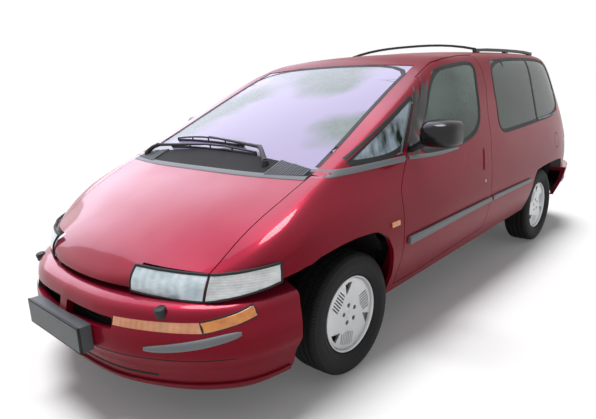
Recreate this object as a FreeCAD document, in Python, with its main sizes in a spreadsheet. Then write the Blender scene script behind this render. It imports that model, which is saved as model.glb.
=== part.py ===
import FreeCAD, Part
import math
import os

# Minivan with a long one-piece nose and windscreen, three rows of seats, two hinged front
# doors, a sliding door on the right and a lifting tailgate. Millimetres, +X forward, +Y left,
# +Z up, the ground at zero, the origin midway between the foremost and rearmost pieces.

doc = FreeCAD.newDocument("Minivan")
Vec = FreeCAD.Vector
UP = Vec(0, 0, 1)
LEFT = Vec(0, 1, 0)
AHEAD = Vec(1, 0, 0)
ORIGIN = Vec(0, 0, 0)

SIZES = [
    ("wheelbase", 2789.0),
    ("front_overhang", 1075.0),
    ("rear_overhang", 1076.0),
    ("body_width", 1895.0),
    ("body_height", 1660.0),
    ("track_front", 1560.0),
    ("track_rear", 1534.0),
    ("tyre_outer_radius", 318.5),
    ("tyre_width", 205.0),
    ("tyre_shoulder", 38.0),
    ("tyre_bead_radius", 199.0),
    ("rim_flange_radius", 207.5),
    ("rim_bead_radius", 190.5),
    ("rim_well_radius", 168.0),
    ("rim_width", 165.0),
    ("rim_wall", 9.0),
    ("rim_disc_wall", 22.0),
    ("rim_disc_set", 24.0),
    ("hub_radius", 74.0),
    ("hub_bore_radius", 30.0),
    ("lug_circle_radius", 57.5),
    ("lug_hole_radius", 13.0),
    ("stub_radius", 29.4),
    ("skin_gap", 5.0),
    ("edge_wall", 24.0),
    ("door_wall", 90.0),
    ("pillar_wall", 46.0),
    ("roof_wall", 30.0),
    ("glass_set", 4.0),
    ("glass_wall", 5.0),
    ("glass_gap", 0.3),
    ("lamp_gap", 0.3),
    ("floor_top", 385.0),
    ("floor_wall", 30.0),
    ("bumper_wall", 34.0),
    ("bumper_push", 42.9),
    ("liner_wall", 10.0),
    ("wheel_house_depth", 480.0),
    ("rear_house_depth", 600.0),
    ("house_wall", 812.0),
    ("house_reach", 382.0),
    ("house_top", 722.0),
    ("moulding_proud", 14.0),
    ("moulding_seat", 0.5),
    ("plate_width", 520.0),
    ("plate_rise", 118.0),
    ("plate_depth", 62.0),
    ("plate_set", 50.0),
    ("rack_bar", 30.0),
    ("rack_rise", 62.0),
    ("engine_long", 470.0),
    ("engine_wide", 820.0),
    ("engine_tall", 440.0),
    ("radiator_wide", 640.0),
    ("radiator_tall", 330.0),
    ("radiator_wall", 46.0),
    ("tank_long", 760.0),
    ("tank_wide", 560.0),
    ("tank_tall", 190.0),
    ("tank_round", 40.0),
    ("pipe_radius", 25.0),
    ("muffler_radius", 95.0),
    ("muffler_long", 480.0),
    ("axle_radius", 36.0),
    ("arm_wall", 40.0),
    ("strut_radius", 30.0),
    ("ball_radius", 14.0),
    ("strut_ball_radius", 18.0),
    ("disc_radius", 132.0),
    ("disc_wall", 20.0),
    ("steer_wheel_radius", 190.0),
    ("steer_rim_radius", 15.0),
    ("steer_hub_radius", 62.0),
    ("steer_hub_wall", 50.0),
    ("steer_spoke_wall", 22.0),
    ("column_radius", 24.0),
    ("column_rake", 28.0),
    ("seat_width", 500.0),
    ("seat_gap", 20.0),
    ("seat_round", 45.0),
    ("seat_leg_tall", 70.0),
    ("bench_width", 1180.0),
    ("mirror_long", 150.0),
    ("mirror_wide", 215.0),
    ("mirror_tall", 150.0),
    ("mirror_round", 40.0),
    ("flap_radius", 62.0),
    ("flap_wall", 9.0),
    ("wiper_radius", 7.0),
    ("pin_radius", 6.0),
    ("pad_long", 60.0),
    ("pad_wall", 12.0),
    ("overrun", 60.0),
]

sheet = doc.addObject("Spreadsheet::Sheet", "Sizes")
for row, (alias, value) in enumerate(SIZES, start=1):
    sheet.set("A%d" % row, alias)
    sheet.set("B%d" % row, str(value))
    sheet.setAlias("B%d" % row, alias)
doc.recompute()


def size(alias):
    """The value of one named size, from the sheet."""
    return float(getattr(sheet, alias))


wheelbase = size("wheelbase")
front_overhang = size("front_overhang")
rear_overhang = size("rear_overhang")
half_width = size("body_width") / 2
body_height = size("body_height")
skin_gap = size("skin_gap")
door_wall = size("door_wall")
pillar_wall = size("pillar_wall")
roof_wall = size("roof_wall")
glass_set = size("glass_set")
glass_wall = size("glass_wall")
glass_gap = size("glass_gap")
overrun = size("overrun")
plate_set = size("plate_set")
bumper_push = size("bumper_push")
bumper_wall = size("bumper_wall")

front_axle_x = (wheelbase + rear_overhang - front_overhang - plate_set) / 2
rear_axle_x = front_axle_x - wheelbase
nose_x = front_axle_x + front_overhang
tail_x = rear_axle_x - rear_overhang


def x_at(share):
    """Station along the body: 1 the nose, 0 the front axle, -1 the rear axle, -2 the tail."""
    if share >= 0:
        return front_axle_x + share * front_overhang
    if share >= -1:
        return front_axle_x + share * wheelbase
    return rear_axle_x + (share + 1) * rear_overhang


def y_at(share):
    """Distance from the middle plane as a share of half the width."""
    return share * half_width


def z_at(share):
    """Height as a share of the body's height."""
    return share * body_height


class Curve:
    """Natural cubic curve through a row of knots."""

    def __init__(self, places, values):
        count = len(places)
        self.places = list(places)
        self.values = list(values)
        step = [places[i + 1] - places[i] for i in range(count - 1)]
        low = [1.0] * count
        mid = [0.0] * count
        high = [0.0] * count
        for i in range(1, count - 1):
            rise = (values[i + 1] - values[i]) / step[i] - (values[i] - values[i - 1]) / step[i - 1]
            low[i] = 2 * (places[i + 1] - places[i - 1]) - step[i - 1] * mid[i - 1]
            mid[i] = step[i] / low[i]
            high[i] = (3 * rise - step[i - 1] * high[i - 1]) / low[i]
        self.second = [0.0] * count
        self.first = [0.0] * count
        self.third = [0.0] * count
        for i in range(count - 2, -1, -1):
            self.second[i] = high[i] - mid[i] * self.second[i + 1]
            bend = step[i] * (self.second[i + 1] + 2 * self.second[i]) / 3
            self.first[i] = (values[i + 1] - values[i]) / step[i] - bend
            self.third[i] = (self.second[i + 1] - self.second[i]) / (3 * step[i])

    def __call__(self, place):
        last = len(self.places) - 1
        if place <= self.places[0]:
            return self.values[0] + self.first[0] * (place - self.places[0])
        i = last - 1
        while i > 0 and self.places[i] > place:
            i -= 1
        run = min(place, self.places[last]) - self.places[i]
        value = self.values[i] + run * (self.first[i] + run * (self.second[i] + run * self.third[i]))
        if place > self.places[last]:
            slope = self.first[i] + run * (2 * self.second[i] + 3 * run * self.third[i])
            value += slope * (place - self.places[last])
        return value


def straight(table, place):
    """Value between the rows of a table, in straight lines."""
    if place <= table[0][0]:
        return table[0][1]
    for (a, va), (b, vb) in zip(table, table[1:]):
        if place <= b:
            return va + (vb - va) * (place - a) / (b - a)
    return table[-1][1]


# The body's plan at three heights, station by station from the nose to the tail: the waist,
# the belt and the roof edge, each as (station share, width share), then the spine's station.
PLAN_SHARES = (
    (0.907, 0.0, 0.8651, 0.0, 0.8372, 0.0, 0.7442),
    (0.8949, 0.2005, 0.8512, 0.1689, 0.8233, 0.1266, 0.7302),
    (0.8577, 0.3958, 0.814, 0.3377, 0.7907, 0.2639, 0.693),
    (0.8047, 0.5805, 0.7581, 0.5066, 0.7349, 0.4116, 0.6419),
    (0.7302, 0.7388, 0.6744, 0.6438, 0.6512, 0.5277, 0.5767),
    (0.6279, 0.8496, 0.5674, 0.7441, 0.5488, 0.6121, 0.5023),
    (0.4977, 0.9288, 0.4372, 0.8074, 0.4186, 0.6596, 0.4093),
    (0.3572, 0.9763, 0.307, 0.8443, 0.2977, 0.6913, 0.307),
    (0.1395, 0.9942, 0.1209, 0.8792, 0.1116, 0.7124, 0.1209),
    (-0.0645, 0.9984, -0.0681, 0.9098, -0.0681, 0.724, -0.0681),
    (-0.1972, 0.9995, -0.1972, 0.9319, -0.1972, 0.7303, -0.1972),
    (-0.3406, 0.9995, -0.3406, 0.9425, -0.3406, 0.7325, -0.3406),
    (-0.502, 0.9995, -0.502, 0.9467, -0.502, 0.7325, -0.502),
    (-0.6812, 0.9984, -0.6812, 0.9456, -0.6812, 0.7282, -0.6812),
    (-0.8426, 0.9963, -0.8426, 0.9414, -0.8426, 0.7219, -0.8426),
    (-0.986, 0.99, -0.9824, 0.933, -0.9681, 0.7113, -0.9681),
    (-1.2704, 0.9731, -1.2519, 0.9182, -1.1868, 0.6966, -1.1775),
    (-1.4935, 0.9372, -1.4656, 0.8918, -1.382, 0.6734, -1.3448),
    (-1.6701, 0.8823, -1.6329, 0.8391, -1.5307, 0.6332, -1.447),
    (-1.8048, 0.8042, -1.763, 0.7546, -1.6329, 0.5594, -1.5121),
    (-1.8913, 0.6755, -1.8467, 0.6227, -1.6887, 0.4433, -1.5493),
    (-1.9396, 0.4644, -1.895, 0.4222, -1.7128, 0.3061, -1.5725),
    (-1.96, 0.2322, -1.9173, 0.2111, -1.724, 0.1478, -1.5864),
    (-1.9656, 0.0, -1.9229, 0.0, -1.7277, 0.0, -1.5911),
)

# Levels of the side wall: height share, which plan lines it lies between, how far, and how
# much it is drawn in as a share of half the width.
LEVEL_SHARES = (
    (0.1145, 0, 0, 0.0, 0.1583),
    (0.2048, 0, 0, 0.0, 0.1003),
    (0.2711, 0, 0, 0.0, 0.0475),
    (0.3313, 0, 0, 0.0, 0.0137),
    (0.4217, 0, 0, 0.0, 0.0),
    (0.5361, 0, 1, 0.3, 0.0),
    (0.6265, 1, 1, 0.0, 0.0),
    (0.7952, 1, 2, 0.42, 0.0),
    (0.9639, 2, 2, 0.0, 0.0),
    (1.0723, 2, 2, 0.0, 0.1583),
)

# Profiles on the middle plane, as (station share, height share).
HOOD_SHARES = (
    (1.0233, 0.3373), (0.9302, 0.3855), (0.8186, 0.447), (0.6884, 0.4976),
    (0.5451, 0.5416), (0.3907, 0.5813), (0.2233, 0.6205),
)
SCREEN_SHARES = (
    (0.2093, 0.6241), (0.0, 0.6861), (-0.1076, 0.7675), (-0.2151, 0.8452),
    (-0.3048, 0.9078), (-0.3528, 0.9398),
)
ROOF_SHARES = (
    (-0.3528, 0.9398), (-0.3854, 0.9608), (-0.4159, 0.9735), (-0.4661, 0.9813),
    (-0.6138, 0.9928), (-0.7827, 0.9982), (-0.9681, 0.997), (-1.289, 0.9892),
    (-1.5214, 0.9771), (-1.7165, 0.959), (-1.9396, 0.9277),
)
# How much the top falls away towards the sides, and how round the edge between them is.
CROWN_SHARES = (
    (1.0233, 0.0602), (0.8186, 0.059), (0.6884, 0.0554), (0.5451, 0.0361), (0.3135, 0.0181),
    (0.2093, 0.0157), (0.1219, 0.0181), (-0.1434, 0.0205), (-0.3553, 0.0181),
    (-0.4303, 0.0217), (-0.7171, 0.0265), (-1.1961, 0.0277), (-1.7165, 0.0265),
    (-1.9396, 0.0265),
)
EDGE_SHARES = (
    (0, 0.0133), (3, 0.0181), (4, 0.0241), (6, 0.0361), (7, 0.0361), (8, 0.0271),
    (9, 0.0229), (11, 0.0241), (12, 0.0361), (20, 0.0361), (23, 0.0301),
)
CROWN_REACH_SHARE = 0.7388
CROWN_POWER_SHARE = 2.3
COWL_BLEND_SHARE = 0.006


def along(pairs):
    """Curve of height over distance to the rear, from a table of shares."""
    return Curve([-x_at(a) for a, b in pairs], [z_at(b) for a, b in pairs])


def by_station(column, turn):
    """Curve of one column of the plan table over the stations."""
    return Curve(list(range(len(PLAN_SHARES))), [turn(line[column]) for line in PLAN_SHARES])


STATIONS = len(PLAN_SHARES) - 1
plan_lines = [(by_station(2 * k, x_at), by_station(2 * k + 1, y_at)) for k in range(3)]
spine_line = by_station(6, x_at)
hood_line = along(HOOD_SHARES)
screen_line = along(SCREEN_SHARES)
roof_line = along(ROOF_SHARES)
crown_line = along(CROWN_SHARES)
screen_foot_x = x_at(HOOD_SHARES[5][0])
screen_low_x = x_at(SCREEN_SHARES[2][0])
screen_head_x = x_at(SCREEN_SHARES[-1][0])


def soft_max(a, b, blend):
    """The larger of two heights, blended where they cross."""
    near = max(0.0, 1 - abs(a - b) / blend)
    return max(a, b) + near * near * blend / 4


def middle_height(x):
    """Height of the outside on the middle plane."""
    if x > screen_foot_x:
        return hood_line(-x)
    if x > screen_low_x:
        return soft_max(hood_line(-x), screen_line(-x), z_at(COWL_BLEND_SHARE))
    if x > screen_head_x:
        return screen_line(-x)
    return roof_line(-x)


def top_height(x, y):
    """Height of the outside's upper face."""
    reach = abs(y) / y_at(CROWN_REACH_SHARE)
    return middle_height(x) - crown_line(-x) * reach ** CROWN_POWER_SHARE


def outward(place):
    """Unit normal of the waist line in plan."""
    near = 0.02
    line_x, line_y = plan_lines[0]
    dx = line_x(place + near) - line_x(place - near)
    dy = line_y(place + near) - line_y(place - near)
    run = math.hypot(dx, dy)
    return dy / run, -dx / run


def wall_lines(place, inset):
    """Curves of x and y over height of the side wall at one station."""
    spots = [(line_x(place), line_y(place)) for line_x, line_y in plan_lines]
    away = outward(place)
    heights = []
    xs = []
    ys = []
    for high, a, b, part, drawn in LEVEL_SHARES:
        z = z_at(high)
        pull = y_at(drawn) + inset(z)
        x = spots[a][0] + (spots[b][0] - spots[a][0]) * part
        y = spots[a][1] + (spots[b][1] - spots[a][1]) * part
        heights.append(z)
        xs.append(x - away[0] * pull)
        ys.append(y - away[1] * pull)
    return Curve(heights, xs), Curve(heights, ys)


WALL_STEPS = 8
EDGE_STEPS = 4
TOP_STEPS = 6


def section(place, inset, drop, base):
    """Points of one station's section, up the wall, round the edge and over the top."""
    line_x, line_y = wall_lines(place, inset)
    low = base
    high = z_at(LEVEL_SHARES[-1][0])
    for turn in range(44):
        mid = (low + high) / 2
        if top_height(line_x(mid), line_y(mid)) - drop > mid:
            low = mid
        else:
            high = mid
    corner = Vec(line_x(low), line_y(low), low)
    to_spine = Vec(spine_line(place) - corner.x, -corner.y, 0)
    to_spine.normalize()
    edge = z_at(straight(EDGE_SHARES, place))
    start = Vec(line_x(low - edge), line_y(low - edge), low - edge)
    finish = corner + to_spine * edge
    finish.z = top_height(finish.x, finish.y) - drop
    points = []
    for i in range(WALL_STEPS):
        z = base + (start.z - base) * i / WALL_STEPS
        points.append(Vec(line_x(z), line_y(z), z))
    for i in range(EDGE_STEPS + 1):
        f = i / EDGE_STEPS
        points.append(start * (1 - f) ** 2 + corner * (2 * f * (1 - f)) + finish * f ** 2)
    for i in range(1, TOP_STEPS + 1):
        f = i / TOP_STEPS
        x = finish.x + (spine_line(place) - finish.x) * f
        y = finish.y * (1 - f)
        points.append(Vec(x, y, top_height(x, y) - drop))
    return points


def spread(lines):
    """Shared parameters for rows of points, by their mean spacing."""
    total = [0.0] * len(lines[0])
    for line in lines:
        run = [0.0]
        for a, b in zip(line, line[1:]):
            run.append(run[-1] + (b - a).Length)
        for i, value in enumerate(run):
            total[i] += value / run[-1] / len(lines)
    return total


def through(rows):
    """B-spline surface exactly through a grid of points."""
    columns = [list(column) for column in zip(*rows)]
    across = spread(rows[1:-1])
    down = spread(columns[:-1])
    first = []
    for line in rows:
        curve = Part.BSplineCurve()
        curve.interpolate(line, Parameters=across)
        first.append(curve.getPoles())
    knots_v = curve.getKnots()
    turns_v = curve.getMultiplicities()
    second = []
    for column in zip(*first):
        curve = Part.BSplineCurve()
        curve.interpolate(list(column), Parameters=down)
        second.append(curve.getPoles())
    poles = [list(line) for line in zip(*second)]
    surface = Part.BSplineSurface()
    surface.buildFromPolesMultsKnots(
        poles, curve.getMultiplicities(), turns_v, curve.getKnots(), knots_v, False, False, 3, 3)
    return surface


def closed_solid(faces):
    """One solid from faces that meet edge to edge."""
    shell = Part.makeShell(faces)
    shell.sewShape()
    solid = Part.makeSolid(shell)
    if solid.Volume < 0:
        solid.reverse()
    return solid


def half_body(inset, drop, base):
    """Left half of the body's form, closed at the middle plane and at its base."""
    grid = []
    count = 2 * STATIONS
    for i in range(count + 1):
        line = section(STATIONS * i / count, inset, drop, base)
        line[-1].y = 0.0
        grid.append(line)
    for end in (0, -1):
        for point in grid[end]:
            point.y = 0.0
    face = through(grid).toShape()
    edges = face.Edges
    foot = [e for e in edges if e.BoundBox.ZLength < skin_gap and e.BoundBox.YLength > y_at(0.5)][0]
    chord = Part.makeLine(foot.valueAt(foot.LastParameter), foot.valueAt(foot.FirstParameter))
    bottom = Part.Face(Part.Wire([foot, chord]))
    rest = [e for e in edges if not e.isSame(foot)]
    middle = Part.Face(Part.Wire(Part.__sortEdges__(rest + [chord])))
    return closed_solid([face, bottom, middle])


def grown(points, gap):
    """A closed outline moved outward by a gap, as a list of pairs."""
    area = 0.0
    count = len(points)
    for i in range(count):
        a = points[i]
        b = points[(i + 1) % count]
        area += a[0] * b[1] - b[0] * a[1]
    side = 1.0 if area > 0 else -1.0
    result = []
    for i in range(count):
        before = points[i - 1]
        here = points[i]
        after = points[(i + 1) % count]
        ua = Vec(here[0] - before[0], here[1] - before[1], 0)
        ub = Vec(after[0] - here[0], after[1] - here[1], 0)
        ua.normalize()
        ub.normalize()
        na = Vec(ua.y * side, -ua.x * side, 0)
        nb = Vec(ub.y * side, -ub.x * side, 0)
        total = na + nb
        total.normalize()
        reach = gap / max(0.35, total.dot(na))
        result.append((here[0] + total.x * reach, here[1] + total.y * reach))
    return result


def outline_face(points, radius, place):
    """Planar face of an outline whose corners are rounded, placed in space."""
    corners = [place(a, b) for a, b in points]
    count = len(corners)
    if radius <= 0:
        return Part.Face(Part.makePolygon(corners + [corners[0]]))
    cuts = []
    for i in range(count):
        here = corners[i]
        back = corners[i - 1] - here
        ahead = corners[(i + 1) % count] - here
        turn = math.pi - back.getAngle(ahead)
        room = 0.46 * min(back.Length, ahead.Length)
        if turn < 0.03:
            cuts.append(None)
            continue
        length = min(radius * math.tan(turn / 2), room)
        back.normalize()
        ahead.normalize()
        start = here + back * length
        finish = here + ahead * length
        bend = length / math.tan(turn / 2)
        inward = back + ahead
        inward.normalize()
        centre = here + inward * (bend / math.cos(turn / 2))
        cuts.append((start, centre - inward * bend, finish))
    edges = []
    for i in range(count):
        this = cuts[i]
        following = cuts[(i + 1) % count]
        if this:
            edges.append(Part.Arc(this[0], this[1], this[2]).toShape())
        begin = this[2] if this else corners[i]
        end = following[0] if following else corners[(i + 1) % count]
        if (end - begin).Length > 0.001:
            edges.append(Part.makeLine(begin, end))
    return Part.Face(Part.Wire(Part.__sortEdges__(edges)))


def side_prism(points, near, far, radius=0.0):
    """Solid of a side-view outline between two distances from the middle."""
    face = outline_face(points, radius, lambda a, b: Vec(a, near, b))
    return face.extrude(LEFT * (far - near))


def plan_prism(points, low, high, radius=0.0):
    """Solid of a plan outline between two heights."""
    face = outline_face(points, radius, lambda a, b: Vec(a, b, low))
    return face.extrude(UP * (high - low))


def front_prism(points, rear, front, radius=0.0):
    """Solid of a front-view outline between two stations."""
    face = outline_face(points, radius, lambda a, b: Vec(rear, a, b))
    return face.extrude(AHEAD * (front - rear))


def block(x0, x1, y0, y1, z0, z1):
    """Box between two corners."""
    corner = Vec(min(x0, x1), min(y0, y1), min(z0, z1))
    return Part.makeBox(abs(x1 - x0), abs(y1 - y0), abs(z1 - z0), corner)


def xz(pairs):
    """Side-view points from shares."""
    return [(x_at(a), z_at(b)) for a, b in pairs]


def xy(pairs):
    """Plan points from shares."""
    return [(x_at(a), y_at(b)) for a, b in pairs]


def yz(pairs):
    """Front-view points from shares."""
    return [(y_at(a), z_at(b)) for a, b in pairs]


def mirrored(shape):
    """The right-hand counterpart of a left-hand shape."""
    return shape.mirror(ORIGIN, LEFT)


def kept(shape, least_share=0.02):
    """The shape's solids without stray slivers."""
    solids = sorted(shape.Solids, key=lambda s: -s.Volume)
    solids = [s for s in solids if s.Volume > least_share * solids[0].Volume]
    if len(solids) == 1:
        return solids[0]
    return Part.makeCompound(solids)


def gather(*shapes):
    """Several solids as one compound."""
    solids = []
    for shape in shapes:
        solids += shape.Solids
    if len(solids) == 1:
        return solids[0]
    return Part.makeCompound(solids)


NODES = []


def piece(label, shape, place=ORIGIN):
    """A sub-part whose form is worked out here, carried to its place."""
    feature = doc.addObject("Part::Feature", label)
    feature.Label = label
    feature.Shape = shape
    feature.Placement = FreeCAD.Placement(place, FreeCAD.Rotation())
    NODES.append(feature)
    return feature


# Side-view outlines of the front door, its window, the fixed windows and the arches.
DOOR_SHARES = (
    (-0.1400, 0.2160), (-0.1310, 0.3000), (-0.1298, 0.512), (-0.1337, 0.5476),
    (-0.1506, 0.5843),
    (-0.1721, 0.6235), (-0.2144, 0.6988), (-0.2628, 0.7952), (-0.3127, 0.9169),
    (-0.4378, 0.948), (-0.5378, 0.961), (-0.6063, 0.9639), (-0.6106, 0.9133),
    (-0.6049, 0.8301), (-0.5755, 0.7157), (-0.564, 0.6392), (-0.5493, 0.5837),
    (-0.5364, 0.4651), (-0.5340, 0.3464), (-0.5340, 0.2560), (-0.2150, 0.2160),
)
DOOR_PLAN_SHARES = (
    (0.0, 0.80), (-0.12, 0.80), (-0.2284, 0.792), (-0.3127, 0.762), (-0.4378, 0.722),
    (-0.5845, 0.684), (-0.70, 0.684),
)
DOOR_WINDOW_SHARES = (
    (-0.2180, 0.6440), (-0.2740, 0.7416), (-0.3520, 0.9060), (-0.4661, 0.9253),
    (-0.5783, 0.9366), (-0.5554, 0.856), (-0.5457, 0.7873), (-0.5317, 0.7331),
    (-0.5142, 0.6934), (-0.4758, 0.659), (-0.4134, 0.6398), (-0.3015, 0.6315),
)
QUARTER_SHARES = (
    (0.0047, 0.6482), (-0.0323, 0.6717), (-0.1233, 0.737), (-0.2070, 0.7963),
    (-0.2540, 0.8300), (-0.2125, 0.7350), (-0.1700, 0.6482),
)
SIDE_WINDOW_SHARES = (
    (-0.6873, 0.944), (-0.6576, 0.8428), (-0.6479, 0.7464), (-0.6321, 0.688),
    (-0.6422, 0.6458), (-0.6726, 0.641), (-0.8946, 0.6518), (-1.3476, 0.6645),
    (-1.4498, 0.7687), (-1.4322, 0.8729), (-1.3894, 0.9368), (-0.9821, 0.9506),
)
FRONT_ARCH_SHARES = (
    (0.4200, 0.1), (0.4120, 0.2898), (0.4050, 0.3289), (0.3907, 0.3946), (0.3572, 0.4235),
    (0.2865, 0.4392), (0.1693, 0.4488), (0.0605, 0.4524), (-0.028, 0.4488),
    (-0.0513, 0.4392), (-0.0753, 0.4139), (-0.0935, 0.3669), (-0.1040, 0.3130),
    (-0.1150, 0.2600), (-0.1240, 0.1),
)
REAR_ARCH_SHARES = (
    (-0.8475, 0.1), (-0.8475, 0.3114), (-0.8515, 0.3602), (-0.8600, 0.3964),
    (-0.8745, 0.4187), (-0.9233, 0.4259), (-0.9986, 0.4283), (-1.1961, 0.4259),
    (-1.3194, 0.4187), (-1.3577, 0.3855), (-1.3842, 0.3373), (-1.3942, 0.1),
)
HOOD_EDGE_SHARES = ((0.693, 0.7388), (0.5451, 0.7515), (0.3135, 0.7736), (0.1535, 0.7789))
FASCIA_TOP_SHARES = (
    (1.0233, 0.3747), (0.7377, 0.3741), (0.614, 0.3855), (0.4902, 0.4048), (0.3572, 0.4235),
)
HEADLAMP_SHARES = ((0.4063, 0.444), (0.3958, 0.3837), (0.7388, 0.3741), (0.7388, 0.4386))
CORNER_SHARES = ((0.693, 0.4386), (0.7377, 0.3741), (0.4791, 0.4048), (0.493, 0.453))
SCREEN_EDGE_SHARES = (
    (0.0884, 0.7757), (-0.043, 0.7536), (-0.137, 0.724), (-0.2417, 0.6934), (-0.3553, 0.6617),
)
PILLAR_SHARES = (
    (0.12, 0.6349), (-0.0323, 0.6928), (-0.1233, 0.7663), (-0.2284, 0.8428), (-0.3292, 0.9084),
)
# Plan of the front bumper at its fullest, and how much each level is drawn in.
BUMPER_PLAN_SHARES = (
    (1.0, 0.0), (0.9916, 0.2005), (0.9619, 0.4011), (0.8949, 0.591), (0.8186, 0.7335),
    (0.7442, 0.8285), (0.6698, 0.8971), (0.5767, 0.9467), (0.4651, 0.9731),
    (0.3572, 0.9868), (0.2326, 0.9921), (0.1100, 0.9921),
)
BUMPER_LEVEL_SHARES = (
    (0.1190, 0.110), (0.1500, 0.065), (0.1990, 0.040), (0.2300, 0.008), (0.2600, 0.0),
    (0.2900, 0.002), (0.3150, 0.012), (0.3400, 0.022), (0.3610, 0.040), (0.3800, 0.100),
    (0.4500, 0.160),
)

belt_share = 0.6265
BELT_SHARES = ((0.2, 0.6265), (-0.16, 0.6265), (-0.5641, 0.6325), (-1.5, 0.655))
floor_top = size("floor_top")
floor_wall = size("floor_wall")
ground_skip = z_at(0.09)

# Forms of the body: the outside, both faces of the glass, and the inside of the walls.
outer = half_body(lambda z: 0.0, 0.0, ground_skip)
glass_outer = half_body(lambda z: glass_set, glass_set, ground_skip)
glass_inner = half_body(lambda z: glass_set + glass_wall, glass_set + glass_wall, ground_skip)


def wall_depth(z):
    """Thickness of the side: doors and quarters below the belt, pillars above it."""
    low = z_at(0.60)
    high = z_at(0.645)
    f = min(1.0, max(0.0, (z - low) / (high - low)))
    return door_wall + (pillar_wall - door_wall) * f


inner = half_body(wall_depth, roof_wall, ground_skip - overrun)
wall = outer.cut(inner)
glass_shell = glass_outer.cut(glass_inner)

# Zones of the body.
far = half_width + overrun
tall = body_height + overrun
door_points = xz(DOOR_SHARES)
door_near = y_at(0.5)
door_plan = xy(DOOR_PLAN_SHARES) + [(x_at(-0.70), far), (x_at(0.0), far)]
door_zone = side_prism(door_points, door_near, far).common(plan_prism(door_plan, 0, tall))
door_zone_wide = side_prism(grown(door_points, skin_gap), door_near, far).common(
    plan_prism(grown(door_plan, skin_gap), 0, tall))
front_arch = side_prism(xz(FRONT_ARCH_SHARES), size("wheel_house_depth"), far)
rear_arch = side_prism(xz(REAR_ARCH_SHARES), size("rear_house_depth"), far)
SILL_FOOT_SHARES = ((0.5, 0.0), (0.5, 0.1830), (-0.1240, 0.1830), (-0.8475, 0.2230), (-1.40, 0.2230),
                    (-1.40, 0.0))
below_sill = side_prism(xz(SILL_FOOT_SHARES), 0, far)

hood_rear_middle = (x_at(0.2186), 0.0)
hood_rear_wide = (x_at(0.1935), y_at(0.45))
hood_points = [(nose_x + overrun, -overrun), (nose_x + overrun, y_at(0.7388))]
hood_points += xy(HOOD_EDGE_SHARES)
hood_points += [hood_rear_wide, hood_rear_middle, (hood_rear_middle[0], -overrun)]
hood_floor = z_at(0.392)
hood_zone = plan_prism(hood_points, hood_floor, tall)
lamp_gap = size("lamp_gap")
head_points = yz(HEADLAMP_SHARES)
lamp_rear = x_at(0.60)
head_zone = front_prism(head_points, lamp_rear, nose_x + overrun)
head_zone_wide = front_prism(grown(head_points, skin_gap), lamp_rear, nose_x + overrun)
corner_points = xz(CORNER_SHARES)
corner_zone = side_prism(corner_points, y_at(0.55), far)
corner_zone_wide = side_prism(grown(corner_points, lamp_gap), y_at(0.55), far)

fascia_line = xz(FASCIA_TOP_SHARES)
above_fascia = [(a, b) for a, b in fascia_line] + [(x_at(0.3), z_at(0.4235)), (x_at(0.3), 0.0)]
above_fascia = above_fascia + [(x_at(1.0233), 0.0)]
under_fascia = side_prism(above_fascia, -overrun, far)
under_fascia_wide = side_prism(grown(above_fascia, skin_gap), -overrun, far)

screen_edge = xy(SCREEN_EDGE_SHARES)
screen_points = [(x_at(0.0558), -overrun), (x_at(0.0558), 0.0), (x_at(0.080), y_at(0.5277))]
screen_points += screen_edge
screen_points += [(x_at(-0.3528), 0.0), (x_at(-0.3528), -overrun)]
screen_zone = plan_prism(screen_points, z_at(0.5), tall)
cowl_points = [(x_at(0.0558), -overrun), (x_at(0.0558), 0.0), (x_at(0.080), y_at(0.5277))]
cowl_points += [screen_edge[0], (x_at(0.1215), y_at(0.7789)), (x_at(0.1535), y_at(0.7789))]
cowl_points += [hood_rear_wide, hood_rear_middle, (hood_rear_middle[0], -overrun)]

quarter_points = xz(QUARTER_SHARES)
quarter_zone = side_prism(quarter_points, y_at(0.6), far, z_at(0.012))
window_points = xz(DOOR_WINDOW_SHARES)
window_zone = side_prism(window_points, y_at(0.6), far, z_at(0.03))
rear_window_points = xz(SIDE_WINDOW_SHARES)
rear_window_zone = side_prism(rear_window_points, y_at(0.55), far, z_at(0.03))

roof_points = [(x_at(-0.3545), -overrun), (x_at(-0.3570), y_at(0.6300))]
roof_points += [(x_at(-1.5600), y_at(0.60)), (x_at(-1.5600), -overrun)]
roof_zone = plan_prism(roof_points, z_at(0.85), tall)

gate_x = x_at(-1.5600)
gate_points = [(-overrun, z_at(0.3680)), (y_at(0.62), z_at(0.3680)), (y_at(0.735), z_at(0.60))]
gate_points += [(y_at(0.700), z_at(0.80)), (y_at(0.62), z_at(0.96)), (y_at(0.60), tall)]
gate_points += [(-overrun, tall)]
hinge_lugs = block(gate_x - 2 * skin_gap, gate_x - glass_gap, y_at(0.33), y_at(0.40),
                   z_at(0.85), tall)
gate_zone = front_prism(gate_points, tail_x - overrun, gate_x - skin_gap).fuse(hinge_lugs)
gate_zone_wide = front_prism(grown(gate_points, skin_gap), tail_x - overrun, gate_x + skin_gap)
gate_glass_points = [(-overrun, z_at(0.66)), (y_at(0.60), z_at(0.66)), (y_at(0.60), z_at(0.80))]
gate_glass_points += [(y_at(0.53), z_at(0.925)), (-overrun, z_at(0.93))]
gate_window_zone = front_prism(gate_glass_points, tail_x - overrun, x_at(-1.55), z_at(0.02))
tail_lamp_points = [(y_at(0.745), z_at(0.50)), (y_at(0.98), z_at(0.50)), (y_at(0.98), z_at(0.645))]
tail_lamp_points += [(y_at(0.745), z_at(0.645))]
tail_lamp_zone = front_prism(tail_lamp_points, tail_x, x_at(-1.66))
tail_lamp_wide = front_prism(grown(tail_lamp_points, lamp_gap), tail_x, x_at(-1.66) + lamp_gap)

under_bumper_points = [(x_at(-1.3500), z_at(0.3610)), (tail_x - overrun, z_at(0.3610))]
under_bumper_points += [(tail_x - overrun, 0.0), (x_at(-1.3500), 0.0)]
rear_low_zone = side_prism(under_bumper_points, -overrun, far)
rear_low_wide = side_prism(grown(under_bumper_points, skin_gap), -overrun, far)

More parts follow.
